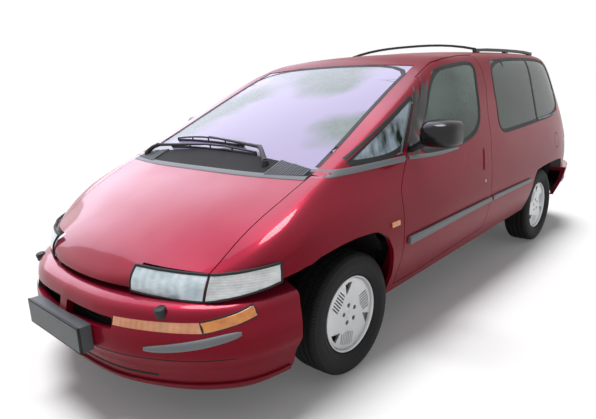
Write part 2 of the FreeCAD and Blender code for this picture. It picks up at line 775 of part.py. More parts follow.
# The body's panels, left half first.
door_left = wall.common(door_zone).cut(Part.makeCompound([window_zone, front_arch]))
door_left = kept(door_left)
hood_half = wall.common(hood_zone).cut(head_zone_wide)
hood_half = kept(hood_half.cut(side_prism(grown(corner_points, skin_gap), y_at(0.55), far)))
under_fascia_close = side_prism(grown(above_fascia, glass_gap), -overrun, far)
head_half = kept(wall.common(head_zone).cut(under_fascia_close))
head_close = front_prism(grown(head_points, lamp_gap), lamp_rear - overrun, nose_x + overrun)
corner_half = kept(wall.common(corner_zone).cut(head_close).cut(under_fascia_close))

fender_points = [(x_at(0.75), z_at(0.36)), (x_at(0.75), z_at(0.5)), (x_at(0.40), z_at(0.66))]
fender_points += [(x_at(0.1535), z_at(belt_share)), (x_at(-0.1721), z_at(belt_share))]
fender_points += [(x_at(-0.1721), z_at(0.30)), (x_at(-0.1400), z_at(0.2160))]
fender_points += [(x_at(-0.1400), 0.0), (x_at(0.75), 0.0)]
hood_edge = xy(HOOD_EDGE_SHARES)
fender_plan = [(nose_x, hood_edge[0][1] + skin_gap)]
fender_plan += [(a, b + skin_gap) for a, b in hood_edge]
fender_plan += [(x_at(-0.19), y_at(0.7789) + skin_gap), (x_at(-0.19), far), (nose_x, far)]
fender_zone = side_prism(fender_points, y_at(0.5), far)
fender_box = plan_prism(fender_plan, 0, tall)
fender_cut = Part.makeCompound([front_arch, under_fascia_wide, corner_zone_wide, head_zone_wide])
fender_half = wall.common(fender_zone).common(fender_box).cut(door_zone_wide)
fender_half = kept(fender_half.cut(front_arch).cut(under_fascia_wide).cut(corner_zone_wide))
edge_inner = half_body(lambda z: size("edge_wall"), roof_wall, ground_skip - overrun)
arch_thinned = edge_inner.common(block(x_at(-0.128), x_at(0.02), y_at(0.5), far, 0, z_at(0.452)))
fender_half = kept(fender_half.cut(head_close).cut(below_sill).cut(arch_thinned))

cowl_half = plan_prism(cowl_points, z_at(0.45), tall)
cowl_half = kept(wall.common(cowl_half))
screen_half = plan_prism(screen_points, z_at(0.5), tall)
screen_half = kept(glass_shell.common(screen_half))
roof_half = kept(wall.common(roof_zone))
gate_half = wall.common(gate_zone).cut(gate_window_zone).cut(rear_low_wide)
# Its inner edge is narrower than its skin, so that it swings clear of the rear pillars.
gate_narrow = front_prism(grown(gate_points, -2 * skin_gap), tail_x - overrun, gate_x)
gate_half = kept(gate_half.cut(edge_inner.cut(gate_narrow)))
gate_glass_half = kept(glass_shell.common(gate_window_zone))

# What is left is the body side: pillars, sill and rear quarter.
side_area = wall.cut(door_zone_wide).cut(fender_zone.common(fender_box))
front_clear = block(x_at(0.1215), nose_x + overrun, -overrun, far, 0, tall)
side_half = side_area.cut(front_clear)
side_half = side_half.cut(plan_prism(grown(screen_points, glass_gap), z_at(0.5), tall))
for near_share, wide_share in ((0.0558, 0.770), (0.0884, 0.7789)):
    cowl_clear = block(x_at(near_share) - glass_gap, x_at(0.2), -overrun,
                       y_at(wide_share) + glass_gap, z_at(0.45), tall)
    side_half = kept(side_half.cut(cowl_clear))
side_half = side_half.cut(plan_prism(grown(roof_points, glass_gap), z_at(0.8), tall))
rear_low_close = side_prism(grown(under_bumper_points, glass_gap), -overrun, far)
side_half = side_half.cut(gate_zone_wide).cut(rear_low_close).cut(rear_arch).cut(front_arch)
side_half = side_half.cut(quarter_zone).cut(rear_window_zone).cut(below_sill)
side_half = side_half.cut(tail_lamp_wide)
side_low = block(x_at(-0.8), tail_x, 0, y_at(0.45), 0, z_at(0.9))
side_half = kept(side_half.cut(side_low), 0.05)
tail_lamp_half = kept(wall.common(tail_lamp_zone).cut(gate_zone_wide))

quarter_small = side_prism(grown(quarter_points, -glass_gap), y_at(0.6), far, z_at(0.012))
quarter_glass = glass_shell.common(quarter_small)
window_small = side_prism(grown(window_points, -glass_gap), y_at(0.6), far, z_at(0.03))
window_glass = glass_shell.common(window_small)
rear_small = side_prism(grown(rear_window_points, -glass_gap), y_at(0.55), far, z_at(0.03))
rear_glass = glass_shell.common(rear_small)


def across_middle(half):
    """One solid over the middle plane from its left half."""
    trimmed = half.cut(block(x_at(1.2), x_at(-2.2), -far, 0, 0, tall + overrun))
    whole = trimmed.fuse(mirrored(trimmed))
    return kept(whole)


# Front bumper.
def bumper_solid(inset, base, top):
    """Left half of the front bumper's form, drawn in by an inset."""
    spots = xy(BUMPER_PLAN_SHARES)
    line_x = Curve(list(range(len(spots))), [a for a, b in spots])
    line_y = Curve(list(range(len(spots))), [b for a, b in spots])
    depth = Curve([z_at(a) for a, b in BUMPER_LEVEL_SHARES],
                  [y_at(b) for a, b in BUMPER_LEVEL_SHARES])
    last = len(spots) - 1
    grid = []
    steps = 2 * last
    for i in range(steps + 1):
        place = last * i / steps
        near = 0.02
        dx = line_x(place + near) - line_x(place - near)
        dy = line_y(place + near) - line_y(place - near)
        run = math.hypot(dx, dy)
        away_x = dy / run
        away_y = -dx / run
        if i == 0:
            away_x = 1.0
            away_y = 0.0
        if i == steps:
            away_x = 0.0
            away_y = 1.0
        row_points = []
        levels = 14
        for k in range(levels + 1):
            z = base + (top - base) * k / levels
            pull = depth(z) + inset
            row_points.append(Vec(line_x(place) - away_x * pull, line_y(place) - away_y * pull, z))
        grid.append(row_points)
    rear_plane = grid[-1][0].x
    for point in grid[-1]:
        point.x = rear_plane
    face = through(grid).toShape()
    lows = []
    highs = []
    for e in face.Edges:
        box = e.BoundBox
        if box.ZLength < skin_gap and box.YLength > y_at(0.5):
            (lows if box.ZMax < (base + top) / 2 else highs).append(e)
    caps = []
    for e in (lows[0], highs[0]):
        a = e.valueAt(e.FirstParameter)
        b = e.valueAt(e.LastParameter)
        if a.y > b.y:
            a, b = b, a
        inner_corner = Vec(b.x, 0, b.z)
        caps.append(Part.Face(Part.Wire(Part.__sortEdges__(
            [e, Part.makeLine(b, inner_corner), Part.makeLine(inner_corner, a)]))))
    ends = [e for e in face.Edges if e.BoundBox.ZLength > skin_gap]
    for e in ends:
        if e.BoundBox.YMax < skin_gap:
            b = max(e.Vertexes, key=lambda v: v.Point.z).Point
            a = min(e.Vertexes, key=lambda v: v.Point.z).Point
            corners = [b, Vec(rear_plane, 0, b.z), Vec(rear_plane, 0, a.z), a]
        else:
            b = max(e.Vertexes, key=lambda v: v.Point.z).Point
            a = min(e.Vertexes, key=lambda v: v.Point.z).Point
            corners = [b, Vec(rear_plane, 0, b.z), Vec(rear_plane, 0, a.z), a]
        sides = [Part.makeLine(p, q) for p, q in zip(corners, corners[1:])]
        caps.append(Part.Face(Part.Wire(Part.__sortEdges__([e] + sides))))
    return closed_solid([face] + caps)


bumper_base = z_at(0.1190)
bumper_outer = bumper_solid(0.0, bumper_base, z_at(0.4500))
bumper_inner = bumper_solid(bumper_wall, bumper_base - overrun, z_at(0.4500) - overrun)
lowered = [(a, b - bumper_wall) for a, b in above_fascia]
under_lowered = side_prism(lowered, -overrun, far)
fascia_half = bumper_outer.common(under_fascia)
fascia_half = fascia_half.cut(bumper_inner.common(under_lowered)).cut(inner)
lower_opening = front_prism([(y_at(0.034), z_at(0.288)), (y_at(0.395), z_at(0.300)),
                             (y_at(0.395), z_at(0.328)), (y_at(0.034), z_at(0.334))],
                            x_at(0.7), nose_x + overrun, z_at(0.006))
turn_points = xz(((0.97, 0.3120), (0.76, 0.3080), (0.60, 0.3380), (0.60, 0.3640),
                  (0.76, 0.3340), (0.97, 0.3340)))
turn_zone = side_prism(turn_points, y_at(0.40), far)
fascia_half = fascia_half.cut(lower_opening)
rear_of_fascia = block(x_at(0.4651), x_at(0.05), 0, far, 0, tall)
fascia_half = fascia_half.cut(front_arch).cut(block(x_at(0.40), x_at(0.05), 0, far, 0, tall))
turn_lamp_half = bumper_outer.cut(bumper_inner).common(turn_zone)
turn_lamp_half = kept(turn_lamp_half)
fascia_half = kept(fascia_half.cut(turn_zone))

# Rear bumper, pushed out from the body's form.
push = -bumper_push
rear_outer = half_body(lambda z: push, 0.0, ground_skip)
rear_inner = half_body(lambda z: push + bumper_wall, bumper_wall, ground_skip - overrun)
rear_bumper_zone = [(x_at(-1.40), z_at(0.3610)), (tail_x - 2 * overrun, z_at(0.3610))]
rear_bumper_zone += [(tail_x - 2 * overrun, z_at(0.165)), (x_at(-1.40), z_at(0.20))]
rear_bumper_prism = side_prism(rear_bumper_zone, -overrun, far)
rear_lowered = side_prism([(a, b - bumper_wall) for a, b in rear_bumper_zone], -overrun, far)
rear_bumper_half = rear_outer.common(rear_bumper_prism)
rear_bumper_half = rear_bumper_half.cut(rear_inner.common(rear_lowered)).cut(rear_arch).cut(inner)
rear_bumper_half = kept(rear_bumper_half)

hood = across_middle(hood_half)
cowl = across_middle(cowl_half)
screen = across_middle(screen_half)
roof = across_middle(roof_half)
gate = across_middle(gate_half)
gate_glass = across_middle(gate_glass_half)
fascia = across_middle(fascia_half)
rear_bumper = across_middle(rear_bumper_half)

# Sliding door on the right, cut from the body side.
slide_front = x_at(-0.5830)
slide_rear = x_at(-0.9440)
slide_points = [(slide_front, z_at(0.2500)), (slide_front, z_at(0.5900)),
                (x_at(-0.6250), z_at(0.7600)), (x_at(-0.6350), z_at(0.9550)),
                (x_at(-0.9480), z_at(0.9640)), (slide_rear, z_at(0.4400)),
                (x_at(-0.8700), z_at(0.4400)), (x_at(-0.8300), z_at(0.3900)),
                (x_at(-0.8300), z_at(0.2500))]
slide_near = y_at(0.684)
slide_zone = side_prism(slide_points, slide_near, far)
slide_wide = side_prism(grown(slide_points, skin_gap), slide_near - skin_gap, far)
slide_half = kept(wall.common(slide_zone).cut(rear_window_zone).cut(rear_arch).cut(below_sill))
side_right_half = kept(side_half.cut(slide_wide), 0.05)
slide_door = mirrored(slide_half)
side_right = mirrored(side_right_half)

piece("side_left", side_half)
piece("side_right", side_right)
piece("roof_panel", roof)
piece("fender_left", fender_half)
piece("fender_right", mirrored(fender_half))
piece("front_fascia", fascia)
piece("rear_bumper", rear_bumper)
piece("cowl_panel", cowl)
piece("hood", hood)
piece("door_left", door_left)
piece("door_right", mirrored(door_left))
piece("sliding_door", slide_door)
piece("tailgate", gate)
piece("windscreen", screen)
piece("fixed_glass", gather(quarter_glass, mirrored(quarter_glass), rear_glass,
                            mirrored(rear_glass)))
piece("door_glass_left", kept(window_glass))
piece("door_glass_right", mirrored(kept(window_glass)))
piece("tailgate_glass", gate_glass)
piece("headlamps", gather(head_half, mirrored(head_half)))
piece("corner_lamps", gather(corner_half, mirrored(corner_half)))
piece("indicator_lamps", gather(turn_lamp_half, mirrored(turn_lamp_half)))
piece("tail_lamps", gather(tail_lamp_half, mirrored(tail_lamp_half)))

# Floor, firewall and wheel housings in one pressing.
house_wall = size("house_wall")
house_reach = size("house_reach")
house_top = size("house_top")
house_depth = size("wheel_house_depth")
rear_depth = size("rear_house_depth")
liner = size("liner_wall")
wheel_z = size("tyre_outer_radius")
room_y = half_width - door_wall - 2 * overrun
firewall_x = x_at(0.115)
cabin_rear_x = x_at(-1.905)


def housing(centre_x, reach, top, near, far_y, foot):
    """Wheel housing's space: an arch-ended box over one wheel."""
    low = foot
    shoulder = top - reach * 0.55
    points = [(centre_x - reach, low), (centre_x - reach, shoulder), (centre_x - reach * 0.62, top)]
    points += [(centre_x + reach * 0.62, top), (centre_x + reach, shoulder), (centre_x + reach, low)]
    return side_prism(points, near, far_y, reach * 0.3)


front_space = housing(front_axle_x, house_reach, house_top, house_depth, house_wall, 0.0)
front_shell = housing(front_axle_x, house_reach + liner, house_top + liner, house_depth - liner,
                      house_wall, floor_top - floor_wall)
rear_points = xz(REAR_ARCH_SHARES)
rear_space = side_prism(rear_points, rear_depth, far)
rear_shell = side_prism(grown(rear_points, liner), rear_depth - liner, far)
floor_low = floor_top - floor_wall
slab = block(firewall_x, cabin_rear_x, -overrun, far, floor_low, floor_top)
slab = slab.common(inner)
door_clear = side_prism(grown(door_points, 2 * skin_gap), room_y + skin_gap, far)
rocker = block(x_at(-0.16), x_at(-0.84), room_y - overrun, far, z_at(0.195), floor_top)
rocker = rocker.common(inner).cut(below_sill)
toe = block(firewall_x, firewall_x + liner, -overrun, far, floor_low, z_at(0.62)).common(inner)
floor_half = slab.fuse(rocker).fuse(toe)
floor_half = floor_half.fuse(front_shell.common(inner)).fuse(rear_shell.common(inner).cut(
    block(x_at(-0.8), x_at(-1.5), 0, far, 0, floor_low)))
floor_half = floor_half.cut(front_space).cut(rear_space).cut(door_clear)
floor_half = floor_half.cut(front_arch)
pad_y = room_y - size("pad_long")
for pad_share in (-0.20, -0.78):
    pad_x = x_at(pad_share)
    pad_low = z_at(0.195) - size("pad_wall")
    floor_half = floor_half.fuse(block(pad_x - size("pad_long") / 2, pad_x + size("pad_long") / 2,
                                       pad_y - size("pad_long") / 2, pad_y + size("pad_long") / 2,
                                       pad_low, floor_low))
floor_half = kept(floor_half)
floor_pan = across_middle(floor_half)
piece("floor_pan", floor_pan)


def bind(item, **links):
    """Ties an object's sizes to the sheet."""
    for name, rule in links.items():
        item.setExpression(name, rule)
    return item


# Running gear and what hangs under the floor.
engine = doc.addObject("Part::Box", "engine_block")
bind(engine, Length="Sizes.engine_long", Width="Sizes.engine_wide", Height="Sizes.engine_tall")
engine.Placement = FreeCAD.Placement(
    Vec(firewall_x + overrun, -size("engine_wide") / 2, z_at(0.18)), FreeCAD.Rotation())
NODES.append(engine)
radiator = doc.addObject("Part::Box", "radiator")
bind(radiator, Length="Sizes.radiator_wall", Width="Sizes.radiator_wide",
     Height="Sizes.radiator_tall")
radiator.Placement = FreeCAD.Placement(
    Vec(x_at(0.72), -size("radiator_wide") / 2, z_at(0.165)), FreeCAD.Rotation())
NODES.append(radiator)

rail_wide = size("arm_wall")
frame_low = z_at(0.137)
frame_top = z_at(0.137) + rail_wide
rail_y = house_depth - liner - rail_wide - skin_gap
rails = block(x_at(0.74), x_at(-0.16), rail_y - rail_wide, rail_y, frame_low, frame_top)
front_beam = block(x_at(0.74), x_at(0.70), -overrun, rail_y, frame_low, frame_top)
mid_beam = block(front_axle_x - rail_wide, front_axle_x + rail_wide, -overrun, rail_y,
                 frame_low, frame_top)
ball_y = y_at(0.790)
ball_z = z_at(0.118)
lower_arm = block(front_axle_x - rail_wide, front_axle_x + rail_wide, rail_y - rail_wide,
                  ball_y - rail_wide, frame_low - rail_wide / 2, frame_low)
lower_tip = Part.makeCylinder(rail_wide * 0.6, rail_wide / 2,
                              Vec(front_axle_x, ball_y, frame_low - rail_wide / 2), UP)
lower_neck = block(front_axle_x - rail_wide / 2, front_axle_x + rail_wide / 2,
                   ball_y - rail_wide, ball_y, frame_low - rail_wide / 2, frame_low)
rear_mount = block(x_at(-0.16), x_at(-0.14), rail_y - rail_wide, rail_y, frame_low, floor_low)
subframe_half = rails.fuse([front_beam, mid_beam, lower_arm, lower_tip, lower_neck, rear_mount])
radiator_foot = block(x_at(0.72), x_at(0.74), size("radiator_wide") / 2 - rail_wide,
                      size("radiator_wide") / 2, frame_top, z_at(0.165))
subframe_half = subframe_half.fuse(radiator_foot)
engine_mid_x = firewall_x + overrun + size("engine_long") / 2
engine_foot = block(engine_mid_x - rail_wide, engine_mid_x + rail_wide, rail_y - rail_wide,
                    size("engine_wide") / 2, frame_top, z_at(0.18))
subframe_half = subframe_half.fuse(engine_foot)
piece("subframe", across_middle(subframe_half))

tank = doc.addObject("Part::Box", "tank_form")
bind(tank, Length="Sizes.tank_long", Width="Sizes.tank_wide", Height="Sizes.tank_tall")
tank.Placement = FreeCAD.Placement(
    Vec(x_at(-0.86), -size("tank_wide") / 6, floor_low - size("tank_tall")),
    FreeCAD.Rotation())
doc.recompute()
fuel_tank = doc.addObject("Part::Fillet", "fuel_tank")
fuel_tank.Base = tank
tank_long_edges = []
for index, edge in enumerate(tank.Shape.Edges, start=1):
    if edge.BoundBox.ZMax < floor_low - size("tank_round"):
        tank_long_edges.append((index, size("tank_round"), size("tank_round")))
fuel_tank.Edges = tank_long_edges
NODES.append(fuel_tank)

pipe_r = size("pipe_radius")
pipe_y = -y_at(0.36)
pipe_z = z_at(0.142)
muffler_x = x_at(-1.62)
pipe_front = x_at(-0.185)
pipe = Part.makeCylinder(pipe_r, pipe_front - muffler_x, Vec(muffler_x, pipe_y, pipe_z), AHEAD)
muffler = Part.makeCylinder(size("muffler_radius"), size("muffler_long"),
                            Vec(muffler_x, pipe_y, z_at(0.148)), AHEAD)
tail_end = tail_x + 3 * overrun
tail_pipe = Part.makeCylinder(pipe_r, muffler_x - tail_end, Vec(tail_end, pipe_y, pipe_z), AHEAD)
hanger = block(muffler_x + overrun, muffler_x + 2 * overrun, pipe_y - pipe_r, pipe_y + pipe_r,
               pipe_z, floor_low)
piece("exhaust", pipe.fuse([muffler, tail_pipe, hanger]))

stub_r = size("stub_radius")
track_rear = size("track_rear")
track_front = size("track_front")
disc_set = size("rim_disc_set")
disc_thick = size("rim_disc_wall")
rear_stub_end = track_rear / 2 + disc_set + disc_thick
beam = Part.makeCylinder(size("axle_radius"), track_rear - 2 * size("tyre_width") / 2,
                         Vec(rear_axle_x, -track_rear / 2 + size("tyre_width") / 2, wheel_z), LEFT)
stubs = Part.makeCylinder(stub_r, 2 * rear_stub_end, Vec(rear_axle_x, -rear_stub_end, wheel_z), LEFT)
drums = []
drum_near = track_rear / 2 - overrun
drum_wall = disc_set + overrun - skin_gap
for way in (1, -1):
    drums.append(Part.makeCylinder(size("disc_radius"), drum_wall, Vec(
        rear_axle_x, way * drum_near, wheel_z), LEFT * way))
    arm_y = way * (rear_depth - 2 * liner - rail_wide)
    drums.append(block(rear_axle_x - rail_wide, x_at(-0.80), arm_y - rail_wide / 2,
                       arm_y + rail_wide / 2, wheel_z - rail_wide / 2, wheel_z + rail_wide / 2))
    drums.append(block(x_at(-0.80) - rail_wide, x_at(-0.80), arm_y - rail_wide / 2,
                       arm_y + rail_wide / 2, wheel_z, floor_low))
piece("rear_axle", beam.fuse([stubs] + drums))

# Front knuckles with their struts, each turning about the line from ball joint to strut top.
STRUT_TOP_SHARE = 0.6333
STRUT_FOOT_SHARE = 0.6450
strut_r = size("strut_radius")
ball_r = size("ball_radius")
strut_ball_r = size("strut_ball_radius")
strut_top = Vec(front_axle_x, y_at(STRUT_TOP_SHARE), house_top - glass_gap - strut_ball_r)
strut_foot = Vec(front_axle_x, y_at(STRUT_FOOT_SHARE), wheel_z + 2 * strut_r)
ball = Vec(front_axle_x, ball_y, frame_low + glass_gap + ball_r)
strut_way = strut_top - strut_foot
joint_balls = [Part.makeSphere(ball_r, ball), Part.makeSphere(strut_ball_r, strut_top)]
strut = Part.makeCylinder(strut_r, strut_way.Length * 0.62, strut_foot, strut_way)
post = Part.makeCylinder(strut_r * 0.5, strut_way.Length, strut_foot, strut_way)
perch = Part.makeCylinder(strut_r * 1.9, liner, strut_foot + strut_way * 0.52, strut_way)
upright = block(front_axle_x - rail_wide * 0.7, front_axle_x + rail_wide * 0.7,
                ball_y - rail_wide, ball_y - rail_wide * 0.1, ball.z, strut_foot.z + strut_r)
bracket = block(front_axle_x - rail_wide * 0.7, front_axle_x + rail_wide * 0.7,
                strut_foot.y - strut_r, ball_y - rail_wide / 2, strut_foot.z - strut_r * 0.4,
                strut_foot.z + strut_r)
front_stub_end = track_front / 2 + disc_set + disc_thick
stub = Part.makeCylinder(stub_r, front_stub_end - ball_y + stub_r,
                         Vec(front_axle_x, ball_y - stub_r, wheel_z), LEFT)
brake = Part.makeCylinder(size("disc_radius"), size("disc_wall"),
                          Vec(front_axle_x, track_front / 2 + disc_set - size("disc_wall") -
                              skin_gap, wheel_z), LEFT)
knuckle = strut.fuse([post, perch, upright, bracket, stub, brake] + joint_balls)
knuckle = kept(knuckle)
piece("knuckle_left", knuckle)
piece("knuckle_right", mirrored(knuckle))

# Wheels: each rim and tyre is turned about its axle line, then carried to its place.
rim_half = size("rim_width") / 2
flange_r = size("rim_flange_radius")
bead_r = size("rim_bead_radius")
well_r = size("rim_well_radius")
rim_wall = size("rim_wall")
hub_r = size("hub_radius")
bore_r = size("hub_bore_radius")


def turned(points):
    """Ring from a profile of (distance along the axle, radius)."""
    corners = [Vec(0, a, b) for a, b in points]
    face = Part.Face(Part.makePolygon(corners + [corners[0]]))
    return face.revolve(ORIGIN, LEFT, 360)


rim_points = [
    (-rim_half, bead_r), (-rim_half, flange_r), (-rim_half + rim_wall, flange_r),
    (-rim_half + rim_wall, bead_r), (-rim_half * 0.45, bead_r - rim_wall),
    (-rim_half * 0.25, well_r), (rim_half * 0.35, well_r), (rim_half * 0.55, bead_r - rim_wall),
    (rim_half - rim_wall, bead_r), (rim_half - rim_wall, flange_r), (rim_half, flange_r),
    (rim_half, bead_r - rim_wall), (rim_half * 0.62, bead_r - 2 * rim_wall),
    (rim_half * 0.40, well_r - rim_wall), (-rim_half * 0.30, well_r - rim_wall),
    (-rim_half * 0.50, bead_r - 2 * rim_wall), (-rim_half, bead_r - rim_wall),
]
barrel = turned(rim_points)
disc_far = disc_set + disc_thick
disc_points = [
    (disc_set, bore_r), (disc_far, bore_r), (disc_far, hub_r), (disc_far + rim_wall, hub_r * 1.3),
    (disc_far + rim_wall, well_r * 0.9), (rim_half * 0.62, bead_r - 2 * rim_wall),
    (rim_half * 0.42, well_r - rim_wall / 2), (disc_set + rim_wall, well_r * 0.8),
    (disc_set, hub_r * 1.2),
]
wheel_disc = turned(disc_points)
rim = barrel.fuse(wheel_disc)
lug_circle = size("lug_circle_radius")
lug_r = size("lug_hole_radius")
holes = []
for k in range(5):
    a = 2 * math.pi * (k + 0.25) / 5
    holes.append(Part.makeCylinder(lug_r, 4 * disc_thick, Vec(
        lug_circle * math.sin(a), 0, lug_circle * math.cos(a)), LEFT))
# The face repeats three times: a fan of narrow slots, a wedge-shaped window and a plain spoke.
slot_half = rim_wall * 0.32
slot_pitch = rim_wall * 1.25
low_r = hub_r * 1.22
high_r = well_r * 0.93
window_corners = ((low_r * 1.02, 34), (high_r, 24), (high_r, 38), (high_r, 52), (low_r * 1.02, 40))
window_outline = [(r * math.sin(math.radians(a)), r * math.cos(math.radians(a)))
                  for r, a in window_corners]
for k in range(3):
    turn = 120 * k
    for row in range(-3, 4):
        slot = block(row * slot_pitch - slot_half, row * slot_pitch + slot_half,
                     0, 4 * disc_thick, low_r, high_r)
        slot.rotate(ORIGIN, LEFT, turn)
        holes.append(slot)
    vent = side_prism(window_outline, 0, 4 * disc_thick, rim_wall * 0.4)
    vent.rotate(ORIGIN, LEFT, turn)
    holes.append(vent)
rim = kept(rim.cut(Part.makeCompound(holes)))

tyre_r = size("tyre_outer_radius")
tyre_half = size("tyre_width") / 2
shoulder = size("tyre_shoulder")
tyre_bead = size("tyre_bead_radius")
fit = glass_gap
tread_half = tyre_half - shoulder
tyre_section = [
    (-rim_half + rim_wall + fit, bead_r + fit), (-rim_half - rim_wall * 0.3, flange_r + fit),
    (-tyre_half, (tyre_r + flange_r) / 2), (-tyre_half + shoulder * 0.3, tyre_r - shoulder * 0.5),
    (-tread_half, tyre_r), (tread_half, tyre_r),
    (tyre_half - shoulder * 0.3, tyre_r - shoulder * 0.5), (tyre_half, (tyre_r + flange_r) / 2),
    (rim_half + rim_wall * 0.3, flange_r + fit), (rim_half - rim_wall - fit, bead_r + fit),
]
# The bead stands just inside the flange, and the flange's rim just clears the side wall.
tyre_section[1:1] = [(-rim_half + rim_wall + fit, flange_r + fit)]
tyre_section[-1:-1] = [(rim_half - rim_wall - fit, flange_r + fit)]
tyre_section += [(tread_half, tyre_r - shoulder), (-tread_half, tyre_r - shoulder)]
tyre = turned(tyre_section)

corners = (("front_left", front_axle_x, track_front / 2, 1),
           ("front_right", front_axle_x, track_front / 2, -1),
           ("rear_left", rear_axle_x, track_rear / 2, 1),
           ("rear_right", rear_axle_x, track_rear / 2, -1))
for name, x, y, way in corners:
    for label, form in (("wheel_" + name, rim), ("tyre_" + name, tyre)):
        body = form if way > 0 else mirrored(form)
        piece(label, body, Vec(x, way * y, wheel_z))

# Dashboard, steering and seats.
dash_points = xz(((0.105, 0.40), (0.105, 0.600), (-0.02, 0.622), (-0.150, 0.605), (-0.195, 0.575),
                  (-0.205, 0.52), (-0.175, 0.44), (-0.10, 0.40)))
dash_half = side_prism(dash_points, -overrun, far).common(inner)
dash_half = dash_half.cut(door_clear).cut(front_shell)
dash_half = dash_half.common(block(x_at(0.2), x_at(-0.3), -overrun, y_at(0.80), 0, tall))
piece("dashboard", across_middle(kept(dash_half)))

column_r = size("column_radius")
rake = math.radians(size("column_rake"))
column_way = Vec(-math.cos(rake), 0, math.sin(rake))
driver_y = y_at(0.42)
column_start = Vec(x_at(-0.190), driver_y, z_at(0.520))
column_long = 3 * overrun
column_base = Part.makeCylinder(column_r * 1.6, column_long, column_start, column_way)
dash_clear = dash_half.copy()
column_shell = column_base.cut(side_prism(dash_points, 0, far))
piece("steering_column", kept(column_shell))
wheel_spot = column_start + column_way * (column_long + glass_gap)
steer_r = size("steer_wheel_radius")
steer_rim = Part.makeTorus(steer_r, size("steer_rim_radius"), wheel_spot + column_way *
                           (size("steer_hub_wall") * 0.7), column_way)
steer_hub = Part.makeCylinder(size("steer_hub_radius"), size("steer_hub_wall"), wheel_spot,
                              column_way)
spokes = []
for a in (-90, 30, 150):
    spoke = block(0, steer_r, -size("steer_spoke_wall"), size("steer_spoke_wall"),
                  size("steer_hub_wall") * 0.3, size("steer_hub_wall") * 0.7)
    spoke.rotate(ORIGIN, UP, a)
    spokes.append(spoke)
spoke_turn = FreeCAD.Rotation(UP, column_way)
spoke_place = FreeCAD.Placement(wheel_spot, spoke_turn)
spoke_forms = []
for spoke in spokes:
    form = spoke.copy()
    form.Placement = spoke_place.multiply(form.Placement)
    spoke_forms.append(form)
piece("steering_wheel", steer_rim.fuse([steer_hub] + spoke_forms))

seat_w = size("seat_width")
leg_tall = size("seat_leg_tall")
SEAT_SIDE_SHARES = (
    (0.0, 0.0), (0.0, 0.135), (0.055, 0.155), (0.40, 0.125), (0.52, 0.135), (0.70, 0.62),
    (0.74, 0.68), (0.86, 0.66), (0.84, 0.58), (0.66, 0.04), (0.60, 0.0),
)
SEAT_LONG_SHARE = 0.50
seat_long = z_at(SEAT_LONG_SHARE)


def seat(front_x, middle_y, width):
    """One seat's cushion and back over its base, from a side profile."""
    low = floor_top + leg_tall
    points = [(front_x - a * seat_long, low + b * seat_long * 1.25) for a, b in SEAT_SIDE_SHARES]
    cushion = side_prism(points, middle_y - width / 2, middle_y + width / 2, size("seat_round"))
    return cushion


def seat_base(front_x, middle_y, width):
    """The frame that carries one seat over the floor."""
    return block(front_x - seat_long * 0.08, front_x - seat_long * 0.60, middle_y - width * 0.42,
                 middle_y + width * 0.42, floor_top, floor_top + leg_tall)


front_seat_x = x_at(-0.319)
second_seat_x = x_at(-0.6275)
third_seat_x = x_at(-0.918)
second_y = y_at(0.40)
front_seats = [seat(front_seat_x, driver_y * s, seat_w) for s in (1, -1)]
second_seats = [seat(second_seat_x, second_y * s, seat_w) for s in (1, -1)]
third_seat = seat(third_seat_x, 0.0, size("bench_width") * 0.92)
piece("front_seats", gather(*front_seats))
piece("second_seats", gather(*second_seats))
piece("third_seat", third_seat)
bases = [seat_base(front_seat_x, driver_y * s, seat_w) for s in (1, -1)]
bases += [seat_base(second_seat_x, second_y * s, seat_w) for s in (1, -1)]
bases += [seat_base(third_seat_x, 0.0, size("bench_width") * 0.9)]
piece("seat_bases", gather(*bases))

# Outside fittings: mouldings, mirrors, roof rack, wipers, plate holder and filler flap.
proud = size("moulding_proud")
seat_gap = size("moulding_seat")
band_outer = half_body(lambda z: -proud, 0.0, ground_skip)
band_inner = half_body(lambda z: -seat_gap, 0.0, ground_skip - overrun)


def band(points):
    """A strip that stands proud of the side between two lines."""
    return kept(side_prism(points, y_at(0.6), far, proud).common(band_outer).cut(band_inner))


door_band = xz(((-0.1456, 0.3584), (-0.1456, 0.3874), (-0.5340, 0.3946), (-0.5340, 0.3765)))
rear_band = xz(((-0.5440, 0.3767), (-0.5440, 0.3948), (-0.8150, 0.3940), (-0.8150, 0.3780)))
door_moulding = band(door_band)
rear_moulding = band(rear_band)
slide_band = xz(((-0.5900, 0.3767), (-0.5900, 0.3948), (-0.8150, 0.3940), (-0.8150, 0.3780)))
slide_moulding = band(slide_band)
piece("door_moulding_left", door_moulding)
piece("door_moulding_right", mirrored(door_moulding))
piece("side_mouldings", gather(rear_moulding, mirrored(slide_moulding)))

mirror_long = size("mirror_long")
mirror_wide = size("mirror_wide")
mirror_tall = size("mirror_tall")
mirror_x = x_at(-0.180)
mirror_low = z_at(0.662)
mirror_face = half_width - door_wall / 2 + skin_gap
head_form = Part.makeBox(mirror_long, mirror_wide, mirror_tall,
                         Vec(mirror_x - mirror_long, mirror_face, mirror_low))
front_edges = [e for e in head_form.Edges if e.BoundBox.XMin > mirror_x - mirror_long + overrun]
side_edges = [e for e in head_form.Edges if e.BoundBox.XLength > overrun]
head_form = head_form.makeFillet(size("mirror_round"), front_edges + side_edges)
foot = block(mirror_x - mirror_long, mirror_x - mirror_long / 3, y_at(0.80), mirror_face + overrun,
             mirror_low, mirror_low + mirror_tall * 0.45)
foot = foot.cut(half_body(lambda z: -glass_gap, 0.0, ground_skip))
mirror = kept(head_form.fuse(foot), 0.1)
piece("mirror_left", mirror)
piece("mirror_right", mirrored(mirror))

bar = size("rack_bar")
rack_y = y_at(0.605)
rack_front = x_at(-0.7065)
rack_rear = x_at(-1.3485)


def roof_z(x, y):
    """Height of the roof's outside."""
    return top_height(x, y)


